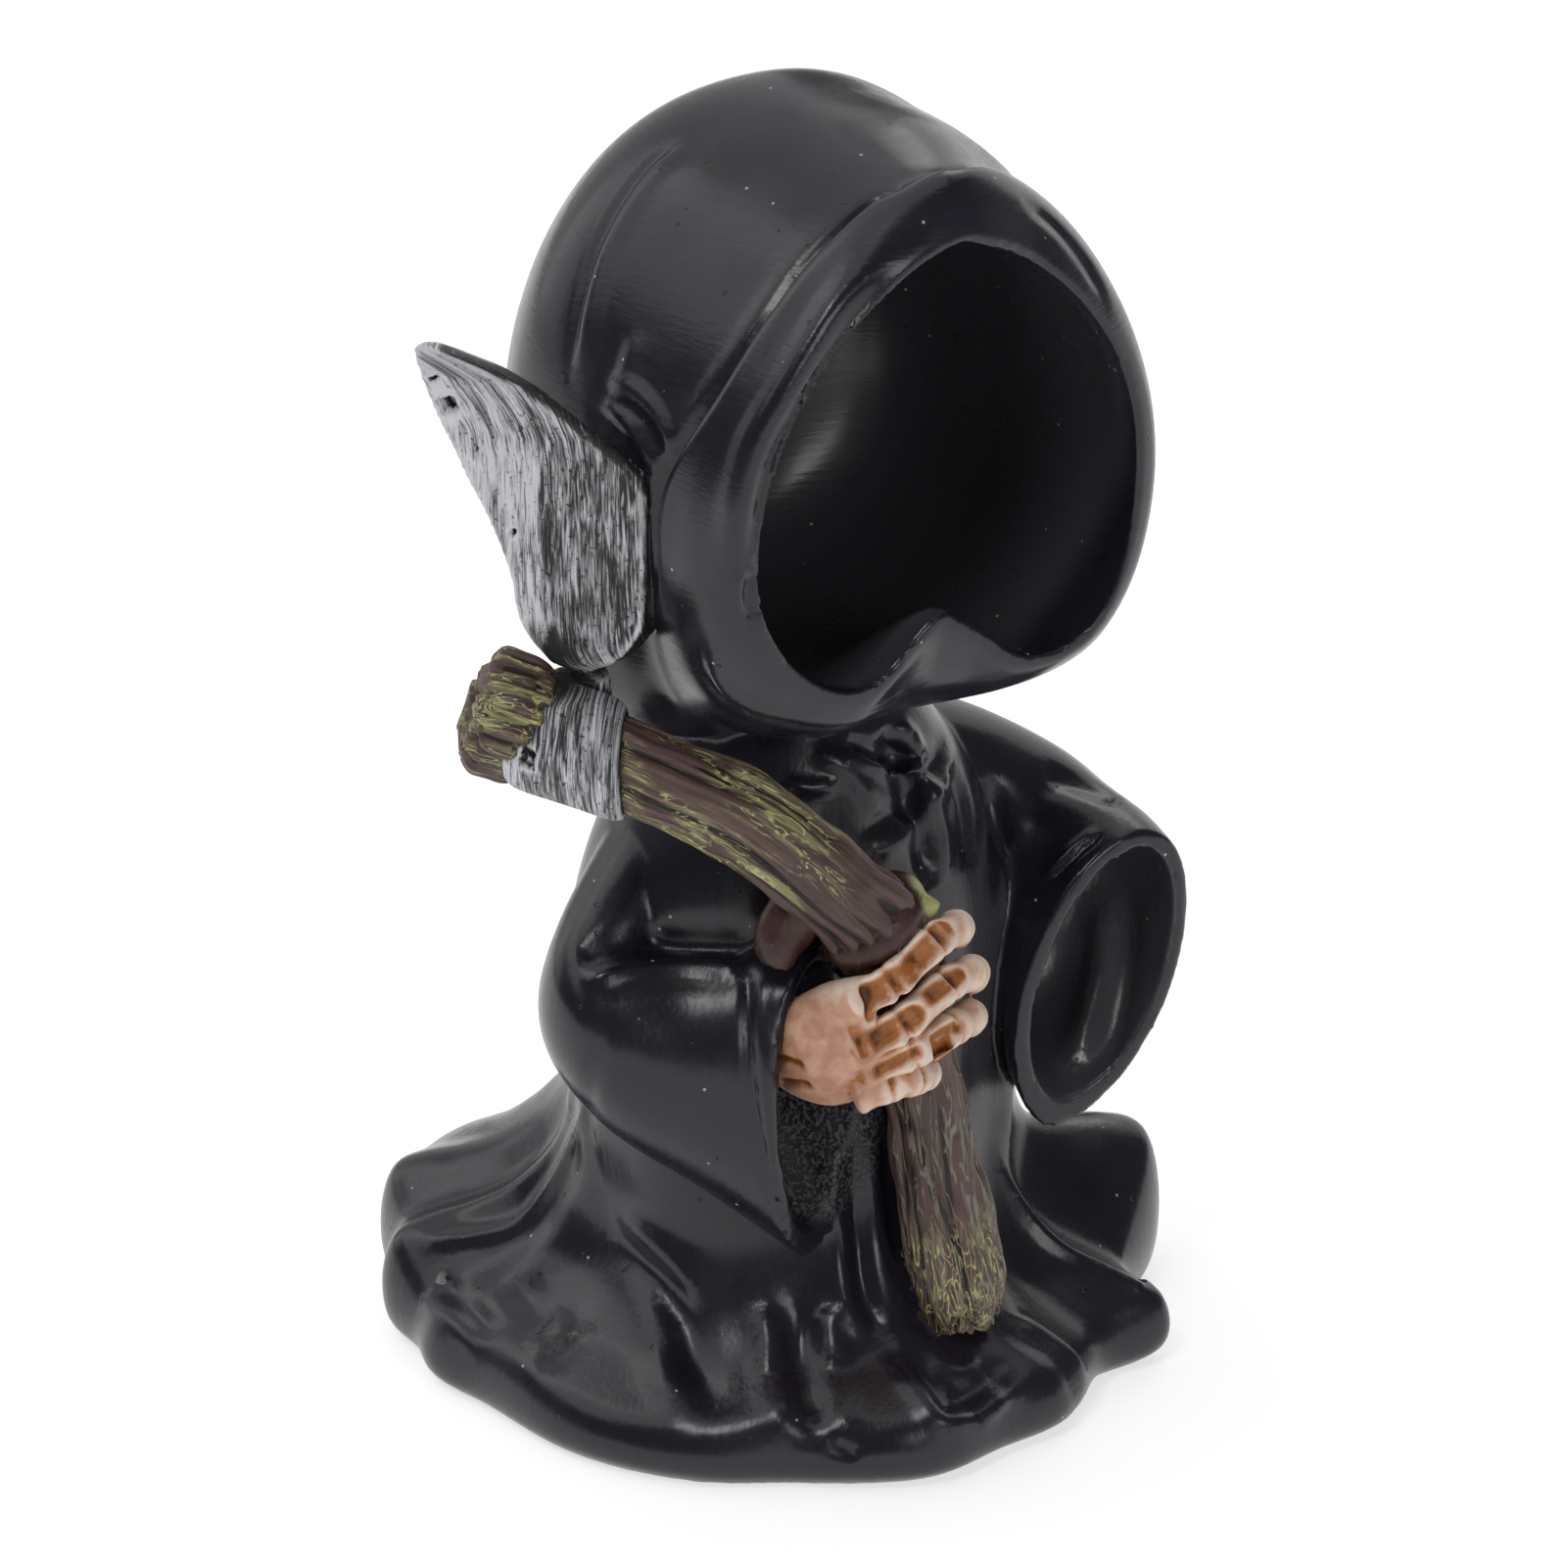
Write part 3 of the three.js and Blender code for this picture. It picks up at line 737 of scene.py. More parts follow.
def silver_paint():
    """Silver dry-brushed along the blade over black: a little fuller on the bevel, thinner at the rim.

    The noise is drawn out along the blade and doesn't change with the distance from the rim.
    """
    made, tree, shader = paint("dry_brushed_silver_paint", IOR=1.47)
    run = own(tree, "run")
    parts = add(tree, "ShaderNodeSeparateXYZ", {0: run}).outputs
    streaks = grain(tree, run, 0.14, 5.0, (1, UNCHANGING, 22), 1.6)
    broad = grain(tree, run, 0.45, 4.0, (1, UNCHANGING, 10), 1.4)
    patches = grain(tree, run, 1.6, 4.0, (1, UNCHANGING, 4), 0.6)
    bevel = soft_step(tree, parts["X"], -0.1, 0.5)
    rim = soft_step(tree, parts["Y"], 1.3, 0.5)
    cover = worked(tree, "MULTIPLY_ADD", patches, 0.4, worked(tree, "MULTIPLY", streaks, 0.75))
    cover = worked(tree, "MULTIPLY_ADD", broad, 0.55, cover)
    cover = worked(tree, "MULTIPLY_ADD", bevel, 0.1, cover)
    cover = worked(tree, "MULTIPLY_ADD", rim, -0.3, cover)
    cover = worked(tree, "MULTIPLY_ADD", own(tree, "hollow", "Fac"), -1.5, cover)
    place = millimetres(tree)
    dark = soft_step(tree, away_from(tree, place, BLADE_FOOT), 4.0, 1.5)
    cover = worked(tree, "MULTIPLY_ADD", dark, -0.26, cover)
    flecks = soft_step(tree, grain(tree, place, 0.35, 3.0, bent=0.6), 0.6, 0.68)
    cover = worked(tree, "MULTIPLY_ADD", flecks, -0.12, cover)
    share = soft_step(tree, cover, 0.76, 1.06)
    colour = mixed(tree, share, linear("161618"), linear("d0d0d5"))
    tree.links.new(worked(tree, "MULTIPLY", share, 0.35), shader.inputs["Metallic"])
    roughness = soft_step(tree, streaks, 0.3, 0.7, 0.4, 0.55)
    finish(tree, shader, colour, roughness, (streaks, 0.1), (patches, 0.1))
    return made


def bone_paint():
    """Pale acrylic, pinker on the palm, with a brown wash that has run into the hollows of the bones."""
    made, tree, shader = paint("washed_bone_paint", IOR=1.47)
    place = millimetres(tree)
    hollow = own(tree, "hollow", "Fac")
    cloudy = grain(tree, place, 1.4, 4.0, bent=0.5)
    fine = grain(tree, place, 0.3, 4.0)
    hollow = worked(tree, "MULTIPLY_ADD", own(tree, "deep", "Fac"), 0.1, hollow)
    wash = worked(tree, "MULTIPLY_ADD", worked(tree, "SUBTRACT", cloudy, 0.5), 0.2, hollow)
    palm = soft_step(tree, away_from(tree, place, PALM_CENTRE), 6.4, 4.4)
    pink = mixed(tree, soft_step(tree, cloudy, 0.3, 0.7), linear("c79c83"), linear("ae7c63"))
    colour = mixed(tree, soft_step(tree, wash, -0.08, 0.02), linear("e2cdbb"), linear("d0a083"))
    colour = mixed(tree, palm, colour, pink)
    colour = mixed(tree, soft_step(tree, wash, 0.02, 0.1), colour, linear("a5672f"))
    colour = mixed(tree, soft_step(tree, wash, 0.13, 0.24), colour, linear("5a2f0e"))
    beside_wash = soft_step(tree, wash, -0.02, 0.06)
    freckles = worked(tree, "MULTIPLY", soft_step(tree, fine, 0.64, 0.7), beside_wash)
    colour = mixed(tree, worked(tree, "MULTIPLY", freckles, 0.7), colour, linear("7a4a22"))
    roughness = soft_step(tree, cloudy, 0.3, 0.7, 0.38, 0.52)
    finish(tree, shader, colour, roughness, (fine, 0.02), (cloudy, 0.06))
    return made


black = black_paint()
bark = bark_paint()
knot = knot_paint()
silver = silver_paint()
bone = bone_paint()

# The staff is a crooked branch, from its foot to its upper end

STAFF_LINE = [
    [3.4, -20.7, 8.3],
    [3.1, -19.7, 14.9],
    [2.2, -19.0, 20.7],
    [1.0, -19.0, 28.5],
    [-1.2, -19.5, 35.9],
    [-3.9, -20.0, 43.0],
    [-8.3, -19.8, 48.1],
    [-12.0, -18.8, 52.1],
    [-15.3, -17.2, 54.9],
    [-18.4, -15.4, 56.9],
    [-22.0, -13.0, 59.0],
    [-25.4, -10.3, 60.9],
    [-28.1, -8.0, 62.2],
    [-31.2, -5.5, 63.4],
]
ACROSS_THE_STAFF = [0.5, 0.86, 0]


def tube(name, line, radius, sides, steps):
    """A tube along a line. Its radius is worked out from the share of the way and the angle.

    It keeps its straightened places, across and along in millimetres, as the attribute run.
    """
    t = np.linspace(0, 1, steps + 1)
    centre = through(line, t)
    along = unit(through(line, t + 1e-3) - through(line, t - 1e-3))
    side = unit(np.cross(ACROSS_THE_STAFF, along))
    up = np.cross(along, side)
    angle = turn_round(sides)
    r = radius(t[:, None], angle[None])
    flat = np.stack(np.broadcast_arrays(r * np.cos(angle), r * np.sin(angle)), -1)
    rings = centre[:, None] + flat[..., :1] * side[:, None] + flat[..., 1:] * up[:, None]
    made = skin(name, rings)
    far = np.concatenate([[0], np.cumsum(np.linalg.norm(np.diff(centre, axis=0), axis=1))])
    run = np.concatenate([flat, np.broadcast_to(far[:, None, None], (*r.shape, 1))], -1).reshape(-1, 3)
    run = np.vstack([run, [0, 0, 0], [0, 0, far[-1]]])
    made.data.attributes.new("run", "FLOAT_VECTOR", "POINT").data.foreach_set("vector", run.ravel())
    return made


def bark_ridge_tree():
    """Grooves and lumps of bark that follow the length of a branch."""
    tree, given, out = geometry_tree(
        "bark",
        {
            "Groove Depth": ("NodeSocketFloat", 0.5),
            "Groove Width": ("NodeSocketFloat", 1.0),
            "Stretch": ("NodeSocketFloat", 9.0),
            "Lump Height": ("NodeSocketFloat", 0.3),
            "Seed": ("NodeSocketFloat", 0.0),
            "Material": ("NodeSocketMaterial", None),
        },
    )
    run = named_vector(tree, "run")
    seed = given.outputs["Seed"]
    longer = add(tree, "ShaderNodeMath", {0: 1.0, 1: given.outputs["Stretch"]}, operation="DIVIDE")
    shape = add(tree, "ShaderNodeCombineXYZ", {"X": 1.0, "Y": 1.0, "Z": longer.outputs[0]})
    drawn = add(tree, "ShaderNodeVectorMath", {0: run, 1: shape.outputs[0]}, operation="MULTIPLY")
    fine = add(tree, "ShaderNodeMath", {0: 1.0, 1: given.outputs["Groove Width"]}, operation="DIVIDE")
    look = {"W": seed, "Scale": fine.outputs[0], "Detail": 1.5, "Distortion": 0.25}
    noise = add(tree, "ShaderNodeTexNoise", {"Vector": drawn.outputs[0], **look}, noise_dimensions="4D")
    middle = add(tree, "ShaderNodeMath", {0: noise.outputs[0], 1: 0.5}, operation="SUBTRACT")
    away = add(tree, "ShaderNodeMath", {0: middle.outputs[0]}, operation="ABSOLUTE")
    groove = soft_step(tree, away.outputs[0], 0.0, 0.075, -1.0, 0.0)
    sockets = {0: groove, 1: given.outputs["Groove Depth"]}
    deep = add(tree, "ShaderNodeMath", sockets, operation="MULTIPLY")
    look = {"W": seed, "Scale": 0.22, "Detail": 1.0}
    lumps = add(tree, "ShaderNodeTexNoise", {"Vector": run, **look}, noise_dimensions="4D")
    lump = add(tree, "ShaderNodeMath", {0: lumps.outputs[0], 1: 0.5}, operation="SUBTRACT")
    sockets = {0: lump.outputs[0], 1: given.outputs["Lump Height"], 2: deep.outputs[0]}
    high = add(tree, "ShaderNodeMath", sockets, operation="MULTIPLY_ADD")
    normal = add(tree, "GeometryNodeInputNormal")
    sockets = {0: normal.outputs[0], "Scale": high.outputs[0]}
    offset = add(tree, "ShaderNodeVectorMath", sockets, operation="SCALE")
    sockets = {"Geometry": given.outputs["Geometry"], "Offset": offset.outputs[0]}
    moved = add(tree, "GeometryNodeSetPosition", sockets)
    dress_and_end(tree, moved, given, out)
    return tree


def staff_radius(t, angle):
    r = 3.9 - 0.85 * smooth(t, 0, 0.3) + 0.55 * smooth(t, 0.4, 0.52) - 0.25 * smooth(t, 0.6, 0.72)
    r = r + 0.9 * bell(t - 0.375, 0.06) + 1.6 * smooth(t, 0.85, 0.93)
    r = r * (0.72 + 0.28 * smooth(t, -0.01, 0.05)) * (1 - 0.6 * smooth(t, 0.94, 1.0) ** 3)
    return r * (1 + 0.04 * np.sin(3 * angle + 6 * t))


staff = grown(
    tube("staff", STAFF_LINE, staff_radius, 80, 220),
    bark_ridge_tree(),
    groove_depth=0.55,
    groove_width=2.5,
    stretch=14.0,
    lump_height=1.2,
    seed=3.0,
    material=bark,
)


def lump(name, centre, half_sizes, lean):
    """A rounded lump. It leans to the figure's left."""
    sides = 40
    angle = turn_round(sides)
    rings = []
    for a in np.linspace(0.02, math.pi - 0.02, sides // 2):
        ring = [np.sin(a) * np.cos(angle), np.sin(a) * np.sin(angle), np.full(sides, np.cos(a))]
        rings.append(np.stack(ring, 1))
    pose = np.array(Matrix.Rotation(math.radians(lean), 3, "Y"))
    return skin(name, (np.array(rings) * half_sizes) @ pose.T + centre)


def twig_radius(t, angle):
    return 2.2 - 0.5 * t + 0.4 * bell(t - 0.7, 0.2) + 0.3 * np.sin(2 * angle + 5 * t)


def nub_radius(t, angle):
    return 1.35 - 0.3 * t + 0.12 * np.sin(3 * angle)


KNOT_VOXEL = 0.28
TWIG_LINE = [[-8.6, -18.9, 49.4], [-10.2, -18.4, 46.4], [-11.4, -17.8, 44.2], [-11.9, -17.4, 42.3]]
NUB_LINE = [[-3.0, -20.8, 43.4], [-1.6, -21.4, 44.6], [-0.6, -21.6, 45.9]]
WEB_CENTRE = (-4.6, -20.0, 44.3)
WEB_HALF_SIZES = (4.6, 3.7, 2.5)
WEB_LEAN = -34
knots = joined(
    "knots",
    [
        tube("twig", TWIG_LINE, twig_radius, 40, 40),
        lump("web", WEB_CENTRE, WEB_HALF_SIZES, WEB_LEAN),
        tube("nub", NUB_LINE, nub_radius, 24, 12),
    ],
)
revoxel(knots, KNOT_VOXEL)
relax(knots, 6)
knots.data.materials.append(knot)
combine(staff, knots, "UNION")

# The blade stands upright along the upper staff, with a bevel on its outer side

COLLAR_RADIUS = 4.75
COLLAR_START = 1.8
COLLAR_LENGTH = 8.6
COLLAR_HEIGHT = 58.5
COLLAR_SLOPE = 0.36
COLLAR_FORWARD = 2.8
BLADE_THICK = 3.6
BLADE_TURN = math.radians(40)
BLADE_CORNER = (-19, -12)
BLADE = [
    # height, where the inner edge, the bevel's ridge and the outer edge are, share of the thickness
    [61.5, 3.0, 6.2, 8.6, 0.5],
    [64.6, 3.2, 6.0, 8.0, 0.5],
    [65.4, 3.8, 5.4, 6.4, 0.6],
    [65.9, 3.2, 5.8, 6.8, 0.85],
    [66.5, 1.8, 7.0, 8.2, 0.97],
    [67.6, 0.6, 7.6, 9.2, 1.0],
    [69.4, -0.4, 7.8, 10.0, 1.0],
    [72.4, -0.7, 8.0, 10.5, 1.0],
    [76.2, -0.7, 8.0, 11.8, 1.0],
    [79.8, -0.7, 8.0, 13.5, 1.0],
    [82.1, 1.1, 8.0, 14.5, 1.0],
    [84.1, 3.4, 8.2, 15.4, 1.0],
    [86.0, 5.7, 9.0, 16.2, 0.97],
    [88.1, 8.4, 10.4, 16.9, 0.9],
    [89.2, 11.0, 12.4, 17.2, 0.82],
    [89.9, 12.9, 14.0, 17.2, 0.74],
    [90.3, 14.2, 15.0, 17.0, 0.62],
]
BLADE_OUT = np.array([-math.cos(BLADE_TURN), math.sin(BLADE_TURN), 0])
BLADE_FACE = np.array([-math.sin(BLADE_TURN), -math.cos(BLADE_TURN), 0])


def blade_form():
    rings = []
    for height, inner, ridge, outer, share in through(BLADE, np.linspace(0, 1, 90)):
        thick = share * BLADE_THICK / 2
        top = smooth(height, 78.5, 82.5)
        corners = np.array(
            [
                (inner + 2.4 * top * share, -thick),
                (inner, thick * (0.1 + 0.6 * top)),
                (inner + (1.1 - 0.7 * top) * share, thick),
                (ridge + 0.2, thick),
                (outer, -0.3 * thick),
                (outer - 0.3, -0.7 * thick),
                (ridge + 0.4 + 2.0 * top * share, -thick),
            ]
        )
        ways = np.roll(corners, -1, 0) - corners
        steps = np.linspace(0, 1, 8, endpoint=False)[:, None]
        corners = np.concatenate([a + w * steps for a, w in zip(corners, ways)])
        middle = np.array([*BLADE_CORNER, height])
        rings.append(middle + corners[:, :1] * BLADE_OUT + corners[:, 1:] * BLADE_FACE)
    return skin("blade", rings)


def collar_form():
    """The metal round the staff, with upright ends."""
    angle = turn_round(72)
    upright = np.array([0, 0, 1])
    rings = []
    for share in np.linspace(0, 1, 30):
        out = COLLAR_START + COLLAR_LENGTH * share
        r = COLLAR_RADIUS * (1 - 0.1 * abs(2 * share - 1) ** 8) + 0.15 * np.sin(2 * angle + 3 * share)
        ring = (r * np.cos(angle))[:, None] * BLADE_FACE + (r * np.sin(angle))[:, None] * upright
        middle = np.array([*BLADE_CORNER, COLLAR_HEIGHT + COLLAR_SLOPE * out])
        rings.append(middle + out * BLADE_OUT + COLLAR_FORWARD * BLADE_FACE + ring)
    return skin("collar", rings)


METAL_VOXEL = 0.22
metal = joined("metal", [blade_form(), collar_form()])
revoxel(metal, METAL_VOXEL)
relax(metal, 4)
METAL_STROKES = [
    # pits in the blade and the collar, as points across and down the picture, lobes and fades
    ([(452, 404), (456, 413), (461, 424)], [(-1.6, 0, 0.5)], (0.05, 0.05)),
    ([(441, 384), (444, 389)], [(-0.7, 0, 0.35)], (0.1, 0.1)),
    ([(521, 541), (526, 547)], [(-0.7, 0, 0.3)], (0.2, 0.2)),
    ([(530, 767), (548, 776)], [(-0.8, 0, 0.4)], (0.2, 0.2)),
    ([(536, 785), (540, 772)], [(-0.8, 0, 0.4)], (0.2, 0.2)),
]
for path, lobes, fades in METAL_STROKES:
    stroke(metal, path, lobes, fades)
metal.data.materials.append(silver)

# The hand is a palm out of the right sleeve and four bony fingers round the staff

PALM = [
    # sections from the wrist to the knuckles, with the columns of a sleeve
    [-9.4, -12.5, 33.6, 2.2, 2.8, 3.4, 15, 0, -14, 1],
    [-10.0, -17.0, 34.8, 2.4, 3.6, 5.0, 30, 0, -14, 1],
    [-8.8, -20.4, 36.0, 2.6, 5.0, 6.3, 42, 0, -14, 1],
    [-6.4, -22.8, 36.7, 2.0, 5.5, 5.7, 55, 0, -14, 1],
]
FINGERS = [
    # the joints of each finger, from the palm to the tip
    [
        [-8.7, -22.8, 39.6],
        [-6.0, -24.2, 41.2],
        [-1.8, -23.8, 43.4],
        [1.9, -21.6, 42.7],
        [3.1, -19.6, 41.2],
    ],
    [
        [-8.6, -23.1, 36.0],
        [-5.3, -24.6, 37.7],
        [-0.9, -24.1, 39.7],
        [3.2, -21.8, 38.7],
        [4.7, -19.6, 37.1],
    ],
    [
        [-7.8, -22.9, 34.0],
        [-4.3, -24.4, 35.1],
        [-0.1, -23.8, 35.7],
        [3.2, -21.6, 34.9],
        [4.4, -19.6, 33.5],
    ],
    [[-8.2, -22.6, 31.7], [-5.8, -23.4, 32.4], [-3.2, -23.2, 32.2], [-0.9, -21.6, 31.4]],
]
BONE_RADIUS = 1.5
HAND_VOXEL = 0.2
HAND_STROKES = [
    # hollows worn into the finger bones: points across and down the picture, width, depth
    ([(902, 1012), (914, 1004), (926, 997)], 1.15, 1.5),
    ([(944, 974), (955, 962), (964, 950)], 1.0, 1.3),
    ([(900, 1062), (914, 1053), (928, 1044)], 1.0, 1.4),
    ([(958, 1010), (968, 1003), (978, 995)], 0.75, 1.0),
    ([(905, 1092), (918, 1086), (930, 1080)], 0.6, 0.7),
    ([(964, 1060), (970, 1056), (976, 1052)], 0.7, 0.9),
    ([(957, 1071), (960, 1069), (963, 1067)], 0.4, 1.5),
    ([(884, 1012), (888, 1022), (890, 1030)], 0.5, 0.6),
    ([(876, 1056), (879, 1063), (882, 1070)], 0.5, 0.5),
    # the ragged edge at the wrist
    ([(796, 1082), (802, 1084), (808, 1086)], 0.45, 0.6),
    ([(800, 1106), (808, 1107), (816, 1108)], 0.45, 0.6),
    ([(862, 992), (868, 998), (872, 1004)], 0.5, 0.5),
]


def bone_form():
    """One finger bone, 1 long and 1 in radius, thicker at its ends."""
    angle = turn_round(20)
    rings = []
    for t in np.linspace(0, 1, 21):
        r = math.sqrt(max(1 - (2 * t - 1) ** 8, 0.0004)) * (1.02 - 0.16 * math.sin(math.pi * t) ** 2)
        rings.append(np.stack([r * np.cos(angle), r * np.sin(angle), np.full(20, t - 0.5)], 1))
    return skin("bone", rings)


def finger_bone_tree():
    """A bone along each edge of the finger lines."""
    tree, given, out = geometry_tree(
        "finger bones",
        {
            "Bone": ("NodeSocketObject", None),
            "Radius": ("NodeSocketFloat", 1.7),
            "Overlap": ("NodeSocketFloat", 1.12),
            "Material": ("NodeSocketMaterial", None),
        },
    )
    ends = add(tree, "GeometryNodeInputMeshEdgeVertices")
    sockets = {0: ends.outputs["Position 2"], 1: ends.outputs["Position 1"]}
    along = add(tree, "ShaderNodeVectorMath", sockets, operation="SUBTRACT")
    sockets = {"Geometry": given.outputs["Geometry"], "Name": "way", "Value": along.outputs[0]}
    how = {"data_type": "FLOAT_VECTOR", "domain": "EDGE"}
    kept = add(tree, "GeometryNodeStoreNamedAttribute", sockets, **how)
    spots = add(tree, "GeometryNodeMeshToPoints", {"Mesh": kept.outputs[0]}, mode="EDGES")
    way = named_vector(tree, "way")
    turned = add(tree, "FunctionNodeAlignRotationToVector", {"Vector": way}, axis="Z")
    long = add(tree, "ShaderNodeVectorMath", {0: way}, operation="LENGTH")
    sockets = {0: long.outputs["Value"], 1: given.outputs["Overlap"]}
    longer = add(tree, "ShaderNodeMath", sockets, operation="MULTIPLY")
    sockets = {"X": given.outputs["Radius"], "Y": given.outputs["Radius"], "Z": longer.outputs[0]}
    size = add(tree, "ShaderNodeCombineXYZ", sockets)
    shape = add(tree, "GeometryNodeObjectInfo", {"Object": given.outputs["Bone"]})
    sockets = {
        "Points": spots.outputs[0],
        "Instance": shape.outputs["Geometry"],
        "Rotation": turned.outputs[0],
        "Scale": size.outputs[0],
    }
    placed = add(tree, "GeometryNodeInstanceOnPoints", sockets)
    dress_and_end(tree, placed, given, out)
    return tree


finger_lines = bpy.data.meshes.new("finger lines")
knuckles = [k for line in FINGERS for k in line]
starts = np.cumsum([0] + [len(line) for line in FINGERS])
links = [(i, i + 1) for start, line in zip(starts, FINGERS) for i in range(start, start + len(line) - 1)]
finger_lines.from_pydata(knuckles, links, [])
fingers = bpy.data.objects.new("fingers", finger_lines)
bpy.context.scene.collection.objects.link(fingers)
one_bone = bone_form()
grown(fingers, finger_bone_tree(), bone=one_bone, radius=BONE_RADIUS, material=bone)
discard(one_bone)
hand = joined("hand", [arm_form("palm", PALM), fingers])
revoxel(hand, HAND_VOXEL)
relax(hand, 4)
hand_faces = [tuple(face.vertices) for face in hand.data.polygons]
plain_hand = BVHTree.FromPolygons(places(hand.data).tolist(), hand_faces)
for path, width, depth in HAND_STROKES:
    stroke(hand, path, [(-depth, 0, width)], power=3)
relax(hand, 1)
hand.data.materials.append(bone)

# Folds and creases of the cloth. Each has points across and down the picture, its lobes and its
# fades. Where a path goes down the picture, right of it is to the left in the picture

HOOD_STROKES = [
    # the crease between the crown and the brim, with the brim standing proud of it
    (
        [
            (925, 189, 0.1), (908, 198, 0.6), (880, 214), (822, 266), (775, 325),
            (728, 398), (694, 452), (673, 500), (668, 560), (668, 640),
        ],
        [(-0.95, 0.0, 0.6), (0.3, -1.6, 1.0)],
        (0.05, 0.15),
    ),
    # a long fold up the side of the crown
    (
        [(700, 138), (662, 168), (632, 208), (606, 260), (590, 320), (578, 400)],
        [(-0.4, 0, 0.55), (0.35, -1.3, 1.0)],
        (0.2, 0.2),
    ),
    ([(636, 330), (624, 372), (606, 430)], [(-0.25, 0, 0.8), (0.2, -1.6, 1.0)], (0.35, 0.35)),
    # the cloth crumpled behind the blade
    (
        [(612, 384), (650, 400), (676, 432), (688, 474)],
        [(0.4, 0, 0.7), (-0.3, 1.3, 0.7)],
        (0.35, 0.3),
    ),
    (
        [(604, 404), (632, 424), (652, 452), (664, 488)],
        [(0.3, 0, 0.6), (-0.25, 1.1, 0.6)],
        (0.35, 0.35),
    ),
    # the rolled edge of the brim and the hollow in front of it
    (
        [(915, 244), (862, 300), (828, 350), (798, 400), (770, 450), (755, 500), (748, 550), (742, 610)],
        [(0.8, 0, 1.2), (-0.5, -1.7, 0.7)],
        (0.2, 0.25),
    ),
    # the pocket where the brim meets the chin
    ([(774, 584), (767, 606), (770, 640)], [(-0.5, 0, 0.9)], (0.3, 0.35)),
    ([(758, 580), (752, 606), (757, 640)], [(0.3, 0, 0.5)], (0.3, 0.3)),
    # the band round the chin, with a roll under it
    (
        [(716, 640), (724, 690), (752, 720), (800, 736), (850, 742), (895, 728), (935, 700)],
        [(0.35, -0.9, 0.9), (-0.4, 0.5, 0.6)],
        (0.25, 0.2),
    ),
    # the brim over the figure's left cheek
    ([(1040, 205), (1075, 228), (1108, 268), (1135, 320)], [(-0.3, 0, 0.8)], (0.3, 0.3)),
]
ROBE_STROKES = [
    # soft crests and a hollow low on the skirt
    (
        [(620, 1230), (660, 1262), (700, 1300), (720, 1345)],
        [(0.5, 0, 1.3), (-0.6, 2.2, 1.3)],
        (0.35, 0.35),
    ),
    ([(775, 1330), (785, 1370), (780, 1410)], [(0.45, 0, 1.0)], (0.35, 0.35)),
    ([(845, 1330), (850, 1365), (858, 1400)], [(0.45, 0, 1.0)], (0.35, 0.35)),
    ([(520, 1300), (545, 1335), (560, 1380)], [(-0.5, 0, 1.4)], (0.35, 0.35)),
    # crests and hollows of the lobes on the figure's right
    (
        [(597, 1118), (585, 1165), (560, 1215), (525, 1252), (470, 1264), (420, 1268)],
        [(0.5, 0, 0.7), (-0.5, 1.8, 1.3)],
        (0.25, 0.2),
    ),
    ([(445, 1302), (475, 1330), (510, 1368)], [(-0.5, 0, 0.9), (0.3, 1.8, 0.9)], (0.3, 0.3)),
    ([(606, 1350), (580, 1376), (545, 1400)], [(-0.4, 0, 1.3), (0.4, 2.4, 1.4)], (0.35, 0.35)),
    (
        [(690, 1300), (700, 1350), (715, 1400), (735, 1450)],
        [(-0.5, 0, 1.3), (0.4, 2.6, 1.5)],
        (0.35, 0.35),
    ),
    # folds down the front
    (
        [(812, 1300), (815, 1350), (818, 1400), (828, 1440), (832, 1480)],
        [(-0.6, 0, 1.2), (0.35, 2.4, 1.5), (0.35, -2.4, 1.5)],
        (0.35, 0.3),
    ),
    ([(880, 1490), (862, 1482), (845, 1470)], [(-0.25, 0, 0.8)], (0.35, 0.35)),
    ([(960, 1395), (985, 1425), (1000, 1460)], [(-0.5, 0, 1.0), (0.4, -2.2, 1.2)], (0.3, 0.35)),
    ([(640, 1000), (610, 1080), (600, 1150), (620, 1240)], [(-0.3, 0, 0.9)], (0.4, 0.4)),
    (
        [(905, 1372), (935, 1420), (965, 1452), (1010, 1440), (1060, 1400)],
        [(0.6, 0, 1.0), (-0.6, -2.0, 1.2)],
        (0.25, 0.25),
    ),
    (
        [(872, 1160), (876, 1250), (884, 1320), (905, 1370)],
        [(-0.7, 0, 0.9), (0.5, 1.8, 1.0)],
        (0.2, 0.3),
    ),
    ([(905, 1150), (912, 1230), (922, 1300)], [(-0.6, 0, 0.8)], (0.2, 0.3)),
    # crests of the lobes on the figure's left
    (
        [(1010, 1165), (1040, 1225), (1080, 1270), (1130, 1296), (1172, 1318)],
        [(0.5, 0, 0.7), (-0.5, -1.7, 1.2)],
        (0.25, 0.1),
    ),
    (
        [(1020, 1335), (1060, 1358), (1095, 1385), (1112, 1420)],
        [(0.4, 0, 1.0), (-0.3, 2.0, 1.0)],
        (0.3, 0.3),
    ),
]
